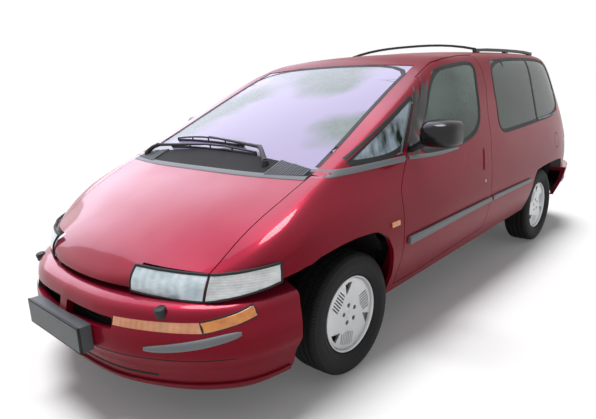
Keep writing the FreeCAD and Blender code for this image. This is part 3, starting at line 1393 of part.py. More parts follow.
rail_points = []
rail_low = []
for k in range(7):
    x = rack_front + (rack_rear - rack_front) * k / 6
    lift = size("rack_rise") * (0.45 if k in (0, 6) else 0.5)
    rail_points.append((x, roof_z(x, rack_y) + lift))
rail_low = [(a, b - bar * 0.7) for a, b in reversed(rail_points)]
rail = side_prism(rail_points + rail_low, rack_y - bar / 2, rack_y + bar / 2)
feet = []
for k in (0, 3, 6):
    x, z = rail_points[k]
    shift = bar if k == 0 else (-bar if k == 6 else 0.0)
    foot_form = block(x - bar - shift, x + bar - shift, rack_y - bar / 2, rack_y + bar / 2,
                      roof_z(x, rack_y) - overrun, z - bar * 0.4)
    feet.append(foot_form.cut(outer))
rack_side = rail.fuse(feet)
arch_points = []
for k in range(7):
    y = rack_y * k / 6
    arch_points.append((y, roof_z(rack_front, y) + size("rack_rise") * (1 - 0.45 * (k / 6) ** 3)))
arch_low = [(a, b - bar * 0.55) for a, b in reversed(arch_points)]
cross = front_prism(arch_points + arch_low, rack_front - bar, rack_front)
rack_half = rack_side.fuse(cross)
rack_half = rack_half.cut(half_body(lambda z: -glass_gap, -glass_gap, ground_skip))
piece("roof_rack", across_middle(kept(rack_half)))

holder = block(nose_x + plate_set - size("plate_depth"), nose_x + plate_set,
               -size("plate_width") / 2, size("plate_width") / 2,
               z_at(0.2290), z_at(0.2290) + size("plate_rise"))
fascia_form = gather(bumper_outer, mirrored(bumper_outer))
holder = holder.cut(bumper_outer).cut(mirrored(bumper_outer))
piece("plate_holder", kept(holder))

flap_r = size("flap_radius")
flap_x = x_at(-1.185)
flap_z = z_at(0.528)
flap_cylinder = Part.makeCylinder(flap_r, overrun * 4, Vec(flap_x, y_at(0.80), flap_z), LEFT)
flap_hole = Part.makeCylinder(flap_r + skin_gap, overrun * 4, Vec(flap_x, y_at(0.80), flap_z), LEFT)
flap_floor = half_body(lambda z: size("flap_wall"), 0.0, ground_skip)
flap_bed = half_body(lambda z: size("flap_wall") + seat_gap, 0.0, ground_skip)
flap = kept(flap_cylinder.common(outer).cut(flap_floor))
side_item = doc.getObject("side_left")
side_item.Shape = side_half.cut(flap_hole.cut(flap_bed))
piece("fuel_flap", flap)

wiper_r = size("wiper_radius")
blades = []
for way in (1, -1):
    base_y = way * y_at(0.42)
    base_x = x_at(0.085)
    tip_y = base_y - y_at(0.62) if way > 0 else base_y + y_at(0.40)
    tip_x = x_at(0.0)
    base = Vec(base_x, base_y, top_height(base_x, base_y) + 2 * wiper_r)
    tip = Vec(tip_x, tip_y, top_height(tip_x, tip_y) + 2 * wiper_r)
    arm = Part.makeCylinder(wiper_r, (tip - base).Length, base, tip - base)
    foot_pin = Part.makeCylinder(wiper_r * 1.6, 6 * wiper_r, base - UP * 3 * wiper_r, UP)
    blades.append(arm.fuse(foot_pin))
wiper_cut = half_body(lambda z: -glass_gap, -glass_gap, ground_skip)
wipers = [kept(b.cut(wiper_cut).cut(mirrored(wiper_cut))) for b in blades]
piece("wipers", gather(*wipers))

doc.recompute()
os.makedirs("parts", exist_ok=True)
for item in doc.Objects:
    if "Invalid" in item.State or "Error" in item.State:
        raise RuntimeError("failed object: " + item.Label)
for item in NODES:
    shape = item.Shape
    if shape.isNull() or not shape.isValid():
        raise RuntimeError("bad shape: " + item.Label)
for item in NODES:
    item.Shape.exportStep("parts/%s.step" % item.Label)
    print(item.Label, len(item.Shape.Solids), round(item.Shape.Volume / 1e6, 2))
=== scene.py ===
import logging
import math
from dataclasses import dataclass
from enum import Enum
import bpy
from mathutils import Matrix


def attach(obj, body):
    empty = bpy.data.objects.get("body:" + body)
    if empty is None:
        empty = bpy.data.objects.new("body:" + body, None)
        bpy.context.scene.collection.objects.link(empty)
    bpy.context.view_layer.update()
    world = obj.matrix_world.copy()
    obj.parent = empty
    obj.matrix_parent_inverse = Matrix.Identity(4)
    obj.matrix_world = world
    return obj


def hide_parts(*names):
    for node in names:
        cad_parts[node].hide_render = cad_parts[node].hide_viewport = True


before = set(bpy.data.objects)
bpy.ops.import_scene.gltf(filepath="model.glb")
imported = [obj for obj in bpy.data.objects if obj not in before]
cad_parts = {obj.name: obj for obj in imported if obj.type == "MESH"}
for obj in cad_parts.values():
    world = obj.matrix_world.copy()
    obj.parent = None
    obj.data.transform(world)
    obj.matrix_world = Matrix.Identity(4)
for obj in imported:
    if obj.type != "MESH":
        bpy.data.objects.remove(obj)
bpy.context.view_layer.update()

from types import SimpleNamespace
from typing import Callable, Iterable, Sequence

import bmesh
import bpy
from mathutils import Matrix, Vector
from mathutils.bvhtree import BVHTree

LOG = logging.getLogger("minivan")

# Metres, in the frame's axes: +X ahead, +Y to the left, +Z up.
AXLE_X = 1.370
REAR_AXLE_X = -1.419
WHEEL_Z = 0.3185
FRONT_TRACK_Y = 0.780
REAR_TRACK_Y = 0.767

Pair = tuple[float, float]
Triple = tuple[float, float, float]
Row = tuple[float, ...]
Spot = Vector | Triple
Lay = Callable[[float, float], Vector]
Material = bpy.types.Material

UP = Vector((0, 0, 1))
BACK = Vector((-1, 0, 0))
CABIN_MIDDLE = (-0.2, 0.0, 0.42)
BAND_STEPS = 96
BLADE_STEPS = 12
TURN_STEPS = 96
WELD = 1e-6
CAD_WELD = 0.00002
CAD_SHARP = 28.0
SLAT_WIDTH = 0.0070
SLAT_HEIGHT = 0.0110
NUTS = 5
NUT_TURN = 0.15
NUT_RING = 0.0470


class Side(Enum):
    """Left or right of the van."""

    LEFT = 1
    RIGHT = -1

    @property
    def word(self) -> str:
        """The side's name in a piece's name."""
        return self.name.lower()

    @property
    def door(self) -> str:
        """The front door of this side."""
        return f"door_{self.word}"

    @property
    def out(self) -> Vector:
        """The way off the van on this side."""
        return Vector((0, self.value, 0))


# ---- Shader graphs ---------------------------------------------------------------------------


class Ink:
    """A value in a material's graph: arithmetic on it adds the Math nodes."""

    def __init__(self, graph: "Graph", socket: bpy.types.NodeSocket) -> None:
        """Keeps the socket and the graph that it belongs to."""
        self.graph = graph
        self.socket = socket

    def _math(self, operation: str, *values: "Ink | float") -> "Ink":
        """A Math node on the given values."""
        return self.graph.add("ShaderNodeMath", {"operation": operation}, *values)

    def __add__(self, other: "Ink | float") -> "Ink":
        """Sum."""
        return self._math("ADD", self, other)

    __radd__ = __add__

    def __sub__(self, other: "Ink | float") -> "Ink":
        """Difference."""
        return self._math("SUBTRACT", self, other)

    def __rsub__(self, other: float) -> "Ink":
        """Difference from a number."""
        return self._math("SUBTRACT", other, self)

    def __mul__(self, other: "Ink | float") -> "Ink":
        """Product."""
        return self._math("MULTIPLY", self, other)

    __rmul__ = __mul__

    def __truediv__(self, other: "Ink | float") -> "Ink":
        """Quotient."""
        return self._math("DIVIDE", self, other)

    def __pow__(self, other: "Ink | float") -> "Ink":
        """Power."""
        return self._math("POWER", self, other)

    def above(self, edge: float, soft: float = 0.002) -> "Ink":
        """0 below an edge and 1 above it, over a soft step.

        Args:
            edge: the value at the middle of the step.
            soft: half the width of the step.

        Returns:
            The mask.
        """
        ramp = (self - (edge - soft)) / (2 * soft)
        return ramp._math("MINIMUM", ramp._math("MAXIMUM", ramp, 0.0), 1.0)

    def between(self, low: float, high: float, soft: float = 0.002) -> "Ink":
        """1 between two values."""
        return self.above(low, soft) * (1 - self.above(high, soft))

    def size(self) -> "Ink":
        """The value without its sign."""
        return self._math("ABSOLUTE", self)

    def wave(self) -> "Ink":
        """Sine of the value."""
        return self._math("SINE", self)


class Graph:
    """The node graph of a material or of the world."""

    def __init__(self, name: str, world: bool = False) -> None:
        """Starts an empty material or world."""
        self.owner = (bpy.data.worlds if world else bpy.data.materials).new(name)
        self.owner.use_nodes = True
        self.tree = self.owner.node_tree
        self.tree.nodes.clear()
        self.ending = "ShaderNodeOutputWorld" if world else "ShaderNodeOutputMaterial"
        self._place: bpy.types.Node | None = None

    def add(self, kind: str, settings: dict | None = None, *values, out: int | str = 0,
            **named) -> Ink:
        """Adds a node.

        Args:
            kind: the node's type.
            settings: attributes that are set first.
            values: values or links of its first sockets, in order.
            out: which output to return.
            named: values or links by socket name, with spaces as underscores.

        Returns:
            The chosen output.
        """
        node = self.tree.nodes.new(kind)
        for key, value in (settings or {}).items():
            setattr(node, key, value)
        for index, value in enumerate(values):
            self._feed(node.inputs[index], value)
        for key, value in named.items():
            self._feed(node.inputs[key.replace("_", " ")], value)
        return Ink(self, node.outputs[out])

    def _feed(self, socket: bpy.types.NodeSocket, value) -> None:
        """Links or sets one input."""
        if isinstance(value, Ink):
            self.tree.links.new(value.socket, socket)
        elif value is not None:
            if isinstance(value, (tuple, list)) and len(value) == 3 and socket.type == "RGBA":
                value = (*value, 1.0)
            socket.default_value = value

    def place(self, output: str = "Object") -> Ink:
        """Object coordinates, or the object's own normal."""
        if self._place is None:
            self._place = self.tree.nodes.new("ShaderNodeTexCoord")
        return Ink(self, self._place.outputs[output])

    def axes(self, output: str = "Object") -> tuple[Ink, Ink, Ink]:
        """Object coordinates, or the object's own normal, as three numbers."""
        node = self.tree.nodes.new("ShaderNodeSeparateXYZ")
        self.tree.links.new(self.place(output).socket, node.inputs[0])
        return tuple(Ink(self, node.outputs[i]) for i in range(3))

    def noise(self, scale: float, detail: float = 3.0, rough: float = 0.55,
              stretch: Triple | None = None) -> Ink:
        """Noise in metres, with scale in lumps a metre."""
        vector = self.place()
        if stretch:
            vector = self.add("ShaderNodeMapping", None, vector, Scale=stretch)
        return self.add("ShaderNodeTexNoise", Vector=vector, Scale=scale, Detail=detail,
                        Roughness=rough)

    def cells(self, scale: float) -> Ink:
        """Distance to the nearest point of a scatter."""
        return self.add("ShaderNodeTexVoronoi", Vector=self.place(), Scale=scale)

    def mix(self, factor: "Ink | float", low, high) -> Ink:
        """Colour between two colours."""
        node = self.tree.nodes.new("ShaderNodeMix")
        node.data_type = "RGBA"
        self._feed(node.inputs[0], factor)
        self._feed(node.inputs[6], low)
        self._feed(node.inputs[7], high)
        return Ink(self, node.outputs[2])

    def bump(self, height: Ink, depth: float, strength: float = 1.0) -> Ink:
        """Normal bent by a height, with its depth in metres."""
        return self.add("ShaderNodeBump", Strength=strength, Distance=depth, Height=height)

    def inner(self) -> Ink:
        """1 on faces that look towards the middle of the van, 0 outside."""
        outward = self.add("ShaderNodeVectorMath", {"operation": "SUBTRACT"}, self.place(),
                           CABIN_MIDDLE)
        flat = self.add("ShaderNodeVectorMath", {"operation": "MULTIPLY"}, outward,
                        (0.04, 1.0, 0.7))
        facing = self.add("ShaderNodeVectorMath", {"operation": "DOT_PRODUCT"}, flat,
                          self.place("Normal"), out="Value")
        return 1 - facing.above(-0.09, 0.03)

    def upward(self) -> Ink:
        """1 on faces that look up, 0 on upright ones."""
        return self.axes("Normal")[2].above(0.45, 0.40)

    def surface(self, **sockets) -> Material:
        """Ends the graph in one Principled shader.

        Args:
            sockets: the shader's values or links by socket name.

        Returns:
            The finished material.
        """
        return self.end(self.add("ShaderNodeBsdfPrincipled", **sockets))

    def end(self, shader: Ink) -> bpy.types.ID:
        """Links the last shader to the output and returns what the graph belongs to."""
        self._feed(self.tree.nodes.new(self.ending).inputs["Surface"], shader)
        return self.owner


# ---- Finishes --------------------------------------------------------------------------------


@dataclass(frozen=True)
class Lacquer:
    """Metallic paint under a clear coat, with a plain lining on faces that look inward."""

    name: str = "cherry_lacquer"
    # Painted light: colour is the lighter tone painted on faces that look up, as a painted sky
    # reflection; deep is the darker tone painted on upright faces and the roof, as painted shade.
    colour: Triple = (0.330, 0.008, 0.036)
    deep: Triple = (0.190, 0.0012, 0.010)
    lining: Triple = (0.085, 0.083, 0.082)

    def build(self) -> Material:
        """Builds the material."""
        g = Graph(self.name)
        inside = g.inner()
        upward = g.upward()
        cloud = g.noise(1.6, 2.0)
        flake = g.noise(900.0, 1.0, 0.8)
        z = g.axes()[2]
        # Painted light: faces that look up are painted towards colour as a painted sky reflection,
        # and upright faces towards deep as painted shade; cloud and flake noise mottle it.
        tone = g.mix(upward * 0.75 + cloud * 0.3 + flake * 0.3 - 0.2, self.deep, self.colour)
        grime = (1 - z.above(0.34, 0.12)) * g.noise(14.0, 4.0, 0.7) * 0.5
        tone = g.mix(grime, tone, (0.060, 0.035, 0.030))
        # Painted shade: the top of the roof is painted towards the darker deep colour, and its
        # metallic and coat are taken away there.
        roof_shade = z.above(1.42, 0.14) * 0.92
        sheen = 0.72 + g.noise(2.4, 4.0, 0.62, (0.8, 1.0, 1.0)).above(0.50, 0.20) * 0.36
        tone = g.mix(roof_shade * 0.75, tone, self.deep)
        tone = g.mix(inside, tone, self.lining)
        peel = g.noise(160.0, 1.0) * 0.5 + g.noise(45.0, 1.0)
        weave = g.cells(420.0)
        height = peel * (1 - inside) * 0.04 + weave * inside
        return g.surface(
            Base_Color=tone, Metallic=(1 - inside) * (1 - roof_shade) * (upward * 0.25 + 0.20),
            Roughness=0.36 + grime * 0.5 + inside * 0.5,
            Coat_Weight=(1 - inside) * (1 - roof_shade) * (upward * 0.75 + 0.25) * sheen,
            Coat_Roughness=0.065, Coat_IOR=1.36, Specular_IOR_Level=0.05,
            Normal=g.bump(height, 0.0005, 0.5))


@dataclass(frozen=True)
class Pane:
    """Window glass of a given tint, with painted patches of sky light and painted reflections of
    foliage and sky.
    """

    name: str
    tint: Triple
    # The next colour is that of the painted patches of sky light on the glass.
    bloom: Triple
    alpha: float
    spread: float = 0.10
    lumps: float = 1.4
    edge: float = 0.50
    # The next field is the colour of the painted reflections on the pane's front part, if it has
    # them.
    ahead: Triple | None = None
    shine: float = 0.25
    blur: float = 0.07

    def build(self) -> Material:
        """Builds the material."""
        g = Graph(self.name)
        drift = g.noise(self.lumps, 2.0, 0.45, (1.0, 0.8, 1.6))
        # The cloud mask places the painted sky patches, where the pane's cover also changes.
        cloud = drift.above(self.edge, self.blur)
        dust = g.noise(40.0, 2.0, 0.5)
        # Painted reflection of foliage: lighter flecks of the pane's own tint.
        foliage_reflection = g.noise(26.0, 4.0, 0.7)
        tone = g.mix(cloud, g.mix(foliage_reflection * 0.9, self.tint, tuple(c * 2.2 for c in self.tint)),
                     self.bloom)
        cover = self.alpha + (cloud - 0.5) * self.spread
        # Painted reflection: pale patches on the front part of the pane, where the pane also covers
        # more.
        if self.ahead:
            reflection_patches = g.noise(4.0, 3.0, 0.6, (1.8, 1.0, 0.8)).above(0.47, 0.08)
            front_reflection = g.axes()[0].above(0.45, 0.05) * reflection_patches
            tone = g.mix(front_reflection, tone, self.ahead)
            cover = cover + front_reflection * 0.15
        return g.surface(Base_Color=tone, Roughness=0.02 + dust * 0.02, Alpha=cover,
                         Specular_IOR_Level=self.shine)


@dataclass(frozen=True)
class Moulded:
    """Moulded plastic or rubber with a fine leather grain."""

    name: str
    colour: Triple
    roughness: float = 0.55
    grain: float = 700.0
    depth: float = 0.0002
    wear: float = 0.12

    def build(self) -> Material:
        """Builds the material."""
        g = Graph(self.name)
        grain = g.cells(self.grain)
        fade = g.noise(6.0, 4.0, 0.65)
        light = tuple(min(1.0, c * 1.7 + 0.012) for c in self.colour)
        tone = g.mix(fade * self.wear * 2.0 + grain * 0.15, self.colour, light)
        return g.surface(Base_Color=tone, Roughness=self.roughness + (fade - 0.5) * 0.18,
                         Specular_IOR_Level=0.35, Normal=g.bump(grain, self.depth, 0.7))


@dataclass(frozen=True)
class Metal:
    """Bare, cast or painted metal."""

    name: str
    colour: Triple
    roughness: float = 0.3
    pits: float = 0.0
    metallic: float = 1.0
    rust: float = 0.0

    def build(self) -> Material:
        """Builds the material."""
        g = Graph(self.name)
        fine = g.noise(320.0, 3.0, 0.7)
        cloud = g.noise(9.0, 4.0, 0.6)
        dark = tuple(c * 0.72 for c in self.colour)
        tone = g.mix(cloud * 0.8, self.colour, dark)
        spots = g.noise(38.0, 5.0, 0.75).above(0.60, 0.06) * self.rust
        tone = g.mix(spots, tone, (0.16, 0.055, 0.02))
        return g.surface(Base_Color=tone, Metallic=self.metallic * (1 - spots),
                         Roughness=self.roughness + fine * 0.12 + spots * 0.4,
                         Normal=g.bump(fine + spots * 0.5, 0.0001 + self.pits, 0.6))


@dataclass(frozen=True)
class AlloyWheel:
    """Silver lacquer on a cast wheel, with brake dust over it and painted shade deep inside it."""

    name: str = "silver_alloy"

    def build(self) -> Material:
        """Builds the material."""
        g = Graph(self.name)
        flake = g.noise(1200.0, 1.0, 0.8)
        dust = g.noise(22.0, 4.0, 0.7)
        # Painted shade: the part of the wheel deeper than its face is painted near black, and made
        # less metallic and rougher.
        deep = 1 - g.axes()[1].size().above(0.816, 0.008)
        tone = g.mix(flake * 0.3, (0.70, 0.71, 0.72), (0.52, 0.53, 0.54))
        tone = g.mix(dust * 0.16 + deep * 0.80, tone, (0.030, 0.029, 0.028))
        return g.surface(Base_Color=tone, Metallic=0.55 - deep * 0.4,
                         Roughness=0.34 + dust * 0.12 + deep * 0.2, Coat_Weight=0.4,
                         Coat_Roughness=0.12, Normal=g.bump(flake, 0.00006, 0.5))


@dataclass(frozen=True)
class TyreRubber:
    """Tyre rubber: cross grooves on the tread, rings and scuffs on the wall."""

    name: str
    centre_x: float

    def build(self) -> Material:
        """Builds the material."""
        g = Graph(self.name)
        x, y, z = g.axes()
        dx = x - self.centre_x
        dz = z - WHEEL_Z
        radius = (dx * dx + dz * dz) ** 0.5
        angle = g.add("ShaderNodeMath", {"operation": "ARCTAN2"}, dz, dx)
        tread = radius.above(0.3035, 0.003)
        sipes = (angle * 118.0 + y.size() * 60.0).wave().above(0.62, 0.16)
        fine = (angle * 236.0 - y.size() * 90.0).wave().above(0.86, 0.08) * 0.4
        rings = (radius * 1500.0).wave().above(0.2, 0.4) * radius.between(0.262, 0.287, 0.001)
        rings = rings * 0.25 + radius.between(0.236, 0.2375, 0.0006)
        height = 1 - tread * (sipes + fine) - (1 - tread) * rings * 0.12
        dust = g.noise(11.0, 5.0, 0.7)
        tone = g.mix(dust * 0.8, (0.010, 0.010, 0.011), (0.026, 0.025, 0.024))
        # Painted shade: the tread's cross grooves are painted darker.
        tone = g.mix(tread * sipes * 0.9, tone, (0.004, 0.004, 0.004))
        return g.surface(Base_Color=tone, Roughness=0.66 + dust * 0.18, Specular_IOR_Level=0.25,
                         Normal=g.bump(height, 0.004, 0.9))


@dataclass(frozen=True)
class Lens:
    """Lamp lens, ribbed on its inside, with painted reflections that lighten it."""

    name: str
    colour: Triple
    # The next colour is that of the painted reflections in the lens.
    bright: Triple
    ribs: Triple = (0.0, 160.0, 0.0)
    metallic: float = 0.25
    depth: float = 0.0006

    def build(self) -> Material:
        """Builds the material."""
        g = Graph(self.name)
        x, y, z = g.axes()
        along_x, along_y, along_z = (math.tau * rib for rib in self.ribs)
        wave = (x * along_x + y * along_y + z * along_z).wave()
        # Painted reflection: the lens is lightened towards its bright colour in soft patches, along
        # its ribs and in fine glints.
        glow = g.noise(9.0, 3.0, 0.6, (1.0, 1.0, 1.8))
        glint = g.noise(70.0, 2.0, 0.6, (1.0, 0.4, 1.0))
        tone = g.mix(glow.above(0.52, 0.16) * 0.7 + wave * 0.10 + glint * 0.25, self.colour,
                     self.bright)
        return g.surface(Base_Color=tone, Metallic=self.metallic, Roughness=0.20 + glow * 0.1,
                         Coat_Weight=1.0, Coat_Roughness=0.01,
                         Normal=g.bump(wave + glint * 0.3, self.depth, 0.6))


@dataclass(frozen=True)
class Cloth:
    """Woven seat cloth with a soft fleck."""

    name: str
    colour: Triple
    thread: Triple
    pitch: float = 850.0

    def build(self) -> Material:
        """Builds the material."""
        g = Graph(self.name)
        x, y, z = g.axes()
        warp = (x * self.pitch + z * self.pitch).wave()
        weft = (y * self.pitch + z * 140.0).wave()
        weave = warp * weft * 0.5 + 0.5
        fleck = g.noise(130.0, 3.0, 0.75)
        wear = g.noise(5.0, 3.0)
        tone = g.mix(weave * 0.45 + fleck * 0.55, self.colour, self.thread)
        tone = g.mix(wear * 0.35, tone, tuple(c * 1.25 for c in self.thread))
        return g.surface(Base_Color=tone, Roughness=0.93, Sheen_Weight=0.35,
                         Sheen_Roughness=0.5, Specular_IOR_Level=0.2,
                         Normal=g.bump(weave + fleck * 0.6, 0.0007, 0.8))


@dataclass(frozen=True)
class FloorFinish:
    """Underseal under the floor and tufted carpet on top of it."""

    name: str = "carpet_and_underseal"

    def build(self) -> Material:
        """Builds the material."""
        g = Graph(self.name)
        carpet = g.axes()[2].above(0.365, 0.008) * g.upward().above(0.5, 0.3)
        tuft = g.noise(700.0, 2.0, 0.7)
        cloud = g.noise(6.0, 3.0)
        below = g.mix(cloud, (0.016, 0.015, 0.015), (0.036, 0.033, 0.031))
        above = g.mix(tuft, (0.030, 0.029, 0.032), (0.095, 0.092, 0.097))
        return g.surface(Base_Color=g.mix(carpet, below, above), Roughness=0.75 + tuft * 0.2,
                         Specular_IOR_Level=0.2, Normal=g.bump(tuft, 0.0012, 0.8))


class Finishes(SimpleNamespace):
    """Every finish of the van, by the names in all_finishes()."""


def all_finishes() -> Finishes:
    """Builds every finish once."""
    recipes = dict(
        paint=Lacquer(),
        # In each Pane the second colour is its painted sky patch; the privacy glass's last colour
        # is its painted front reflection.
        windscreen=Pane("windscreen_glass", (0.165, 0.215, 0.195), (0.47, 0.40, 0.66), 0.80, 0.16,
                        1.3, 0.51, shine=0.5, blur=0.05),
        clear=Pane("side_glass", (0.022, 0.036, 0.027), (0.17, 0.24, 0.21), 0.80, -0.24,
                   1.5, 0.53, blur=0.14),
        dark=Pane("privacy_glass", (0.014, 0.024, 0.018), (0.070, 0.104, 0.086), 0.88, -0.12,
                  1.3, 0.55, (0.42, 0.52, 0.60), blur=0.16),
        black=Moulded("black_plastic", (0.012, 0.012, 0.013), 0.48),
        cowl=Moulded("cowl_plastic", (0.004, 0.004, 0.005), 0.80),
        gloss_black=Moulded("gloss_black", (0.006, 0.006, 0.007), 0.18, 300.0, 0.00003),
        seal=Moulded("rubber_seal", (0.008, 0.008, 0.008), 0.62, 500.0),
        grey=Moulded("grey_strip", (0.145, 0.155, 0.165), 0.42, 900.0, 0.0001),
        trim=Moulded("side_moulding", (0.120, 0.125, 0.130), 0.45, 800.0, 0.0001),
        dash=Moulded("dashboard_skin", (0.030, 0.029, 0.031), 0.70, 380.0, 0.0004),
        wheel=AlloyWheel(),
        front_tyre=TyreRubber("front_tyre_rubber", AXLE_X),
        rear_tyre=TyreRubber("rear_tyre_rubber", REAR_AXLE_X),
        headlamp=Lens("headlamp_lens", (0.40, 0.51, 0.56), (0.84, 0.94, 0.99),
                      (0.0, 26.0, 0.0), 0.20, 0.00025),
        corner=Lens("corner_lens", (0.46, 0.48, 0.49), (0.86, 0.88, 0.88),
                    (0.0, 0.0, 88.0), 0.30, 0.0006),
        amber=Lens("amber_lens", (0.60, 0.15, 0.010), (0.90, 0.33, 0.03),
                   (60.0, 60.0, 0.0), 0.0, 0.0003),
        pale_amber=Lens("pale_amber_lens", (0.60, 0.19, 0.060), (0.82, 0.36, 0.17),
                        (0.0, 40.0, 0.0), 0.0, 0.0003),
        red=Lens("red_lens", (0.30, 0.002, 0.003), (0.55, 0.008, 0.006), (0.0, 0.0, 70.0),
                 0.0),
        cloth=Cloth("seat_cloth", (0.060, 0.060, 0.064), (0.140, 0.138, 0.142)),
        cloth_side=Cloth("seat_side_cloth", (0.040, 0.040, 0.043), (0.080, 0.080, 0.084)),
        cast=Metal("cast_iron", (0.13, 0.13, 0.13), 0.55, 0.0006, metallic=0.7, rust=0.5),
        bright=Metal("bright_metal", (0.62, 0.63, 0.64), 0.16),
        steel=Metal("machined_steel", (0.38, 0.38, 0.39), 0.30, rust=0.35),
        rust=Metal("exhaust_steel", (0.22, 0.20, 0.18), 0.48, 0.0002, rust=0.9),
        underseal=Metal("underbody_paint", (0.020, 0.019, 0.019), 0.62, 0.0005, metallic=0.1,
                        rust=0.15),
        rack=Metal("rack_metal", (0.045, 0.046, 0.048), 0.38, metallic=0.6),
        plate=Moulded("plate_plastic", (0.060, 0.066, 0.070), 0.40, 260.0, 0.0006),
        mirror=Metal("mirror_glass", (0.72, 0.74, 0.76), 0.02),
        # Near black: real dark seams, and painted shade in recesses, creases, under the tail handle
        # and behind the grille.
        slot=Moulded("dark_recess", (0.003, 0.003, 0.003), 0.9, 200.0),
        floor=FloorFinish())
    return Finishes(**{key: recipe.build() for key, recipe in recipes.items()})


# ---- Building pieces -------------------------------------------------------------------------


class Skin:
    """A surface of the van, such as its whole outside, which points are laid on.

    Rays start beside, above and ahead of the van. Hits nearer to its middle than INNER_Y and
    INNER_X are inner faces. There, and where a ray meets nothing, the point nearest to the usual
    place of the side, end or bumper is taken, or the height COWL_Z on the top.
    """

    BESIDE = 1.3
    ABOVE = 2.2
    AHEAD = 3.0
    INNER_Y = 0.50
    INNER_X = 1.2
    SIDE_Y = 0.86
    END_X = 2.3
    COWL_Z = 1.0
    BUMPER_RADIUS = 0.85

    def __init__(self, *nodes: str) -> None:
        """Reads the CAD nodes that make up the surface."""
        points: list[Vector] = []
        faces: list[tuple[int, ...]] = []
        for name in nodes:
            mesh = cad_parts[name].data
            start = len(points)
            points.extend(v.co.copy() for v in mesh.vertices)
            faces.extend(tuple(start + i for i in p.vertices) for p in mesh.polygons)
        self.tree = BVHTree.FromPolygons(points, faces)

    def cast(self, start: Vector, way: Vector) -> Vector | None:
        """The first point that a ray meets."""
        return self.tree.ray_cast(start, way)[0]

    def nearest(self, spot: Vector) -> Vector:
        """The skin's point nearest to a spot."""
        return self.tree.find_nearest(spot)[0]

    def side(self, side: Side) -> Lay:
        """Lays (x, z) on the left or right side."""

        def lay(x: float, z: float) -> Vector:
            """The point on the side."""
            hit = self.cast(Vector((x, self.BESIDE * side.value, z)), -side.out)
            if hit and abs(hit.y) > self.INNER_Y:
                return hit
            return self.nearest(Vector((x, self.SIDE_Y * side.value, z)))

        return lay

    def top(self) -> Lay:
        """Lays (x, y) on the top."""

        def lay(x: float, y: float) -> Vector:
            """The point on the top."""
            return self.cast(Vector((x, y, self.ABOVE)), -UP) or Vector((x, y, self.COWL_Z))

        return lay

    def front(self, away: float = 1.0) -> Lay:
        """Lays (y, z) on the front, or on the rear with away -1."""

        def lay(y: float, z: float) -> Vector:
            """The point on the front."""
            hit = self.cast(Vector((self.AHEAD * away, y, z)), BACK * away)
            if hit and hit.x * away > self.INNER_X:
                return hit
            return self.nearest(Vector((self.END_X * away, y, z)))

        return lay

    def round_nose(self, turn: float, z: float, hub_x: float = 1.55) -> tuple[Vector, Vector]:
        """The point of the bumper at a turn about an upright line, and the way off it."""
        hub = Vector((hub_x, 0.0, z))
        way = Vector((math.cos(turn), math.sin(turn), 0.0))
        hit = self.cast(hub + way * 2.0, -way) or self.nearest(hub + way * self.BUMPER_RADIUS)
        return hit, way


def corners(points: Sequence[Pair], radius: float) -> list[Pair]:
    """Replaces each corner of a closed outline by two points, a radius before and after it."""
    result = []
    for before, here, after in zip([points[-1], *points[:-1]], points, [*points[1:], points[0]]):
        for other in (before, after):
            share = radius / math.dist(here, other)
            result.append((here[0] + (other[0] - here[0]) * share,
                           here[1] + (other[1] - here[1]) * share))
    return result


def rounded(points: Sequence[Pair], closed: bool = False, passes: int = 2) -> list[Pair]:
    """Cuts an outline's corners until it runs smooth.

    Args:
        points: the outline.
        closed: whether it returns to its start.
        passes: how often each corner is cut.

    Returns:
        The smooth outline.
    """
    for _ in range(passes):
        result: list[Pair] = [] if closed else [points[0]]
        ends = list(points[1:]) + ([points[0]] if closed else [])
        for (ax, ay), (bx, by) in zip(points, ends):
            result.append((ax * 0.75 + bx * 0.25, ay * 0.75 + by * 0.25))
            result.append((ax * 0.25 + bx * 0.75, ay * 0.25 + by * 0.75))
        if not closed:
            result.append(points[-1])
        points = result
    return list(points)


def spaced(points: Sequence[Pair], step: float, closed: bool = False) -> list[Pair]:
    """Divides an outline into steps of about one length."""
    result: list[Pair] = []
    ends = list(points[1:]) + ([points[0]] if closed else [])
    for (ax, ay), (bx, by) in zip(points, ends):
        count = max(1, round(math.hypot(bx - ax, by - ay) / step))
        for i in range(count):
            result.append((ax + (bx - ax) * i / count, ay + (by - ay) * i / count))
    if not closed:
        result.append(points[-1])
    return result


def both_sides(half: Sequence[Pair]) -> list[Pair]:
    """Adds the mirror image of an outline that ends at the middle, or close to it."""
    return [*half, *((a, -b) for a, b in reversed(half) if b)]


def turns(count: int) -> list[float]:
    """The angles of a full turn in equal steps."""
    return [math.tau * k / count for k in range(count)]


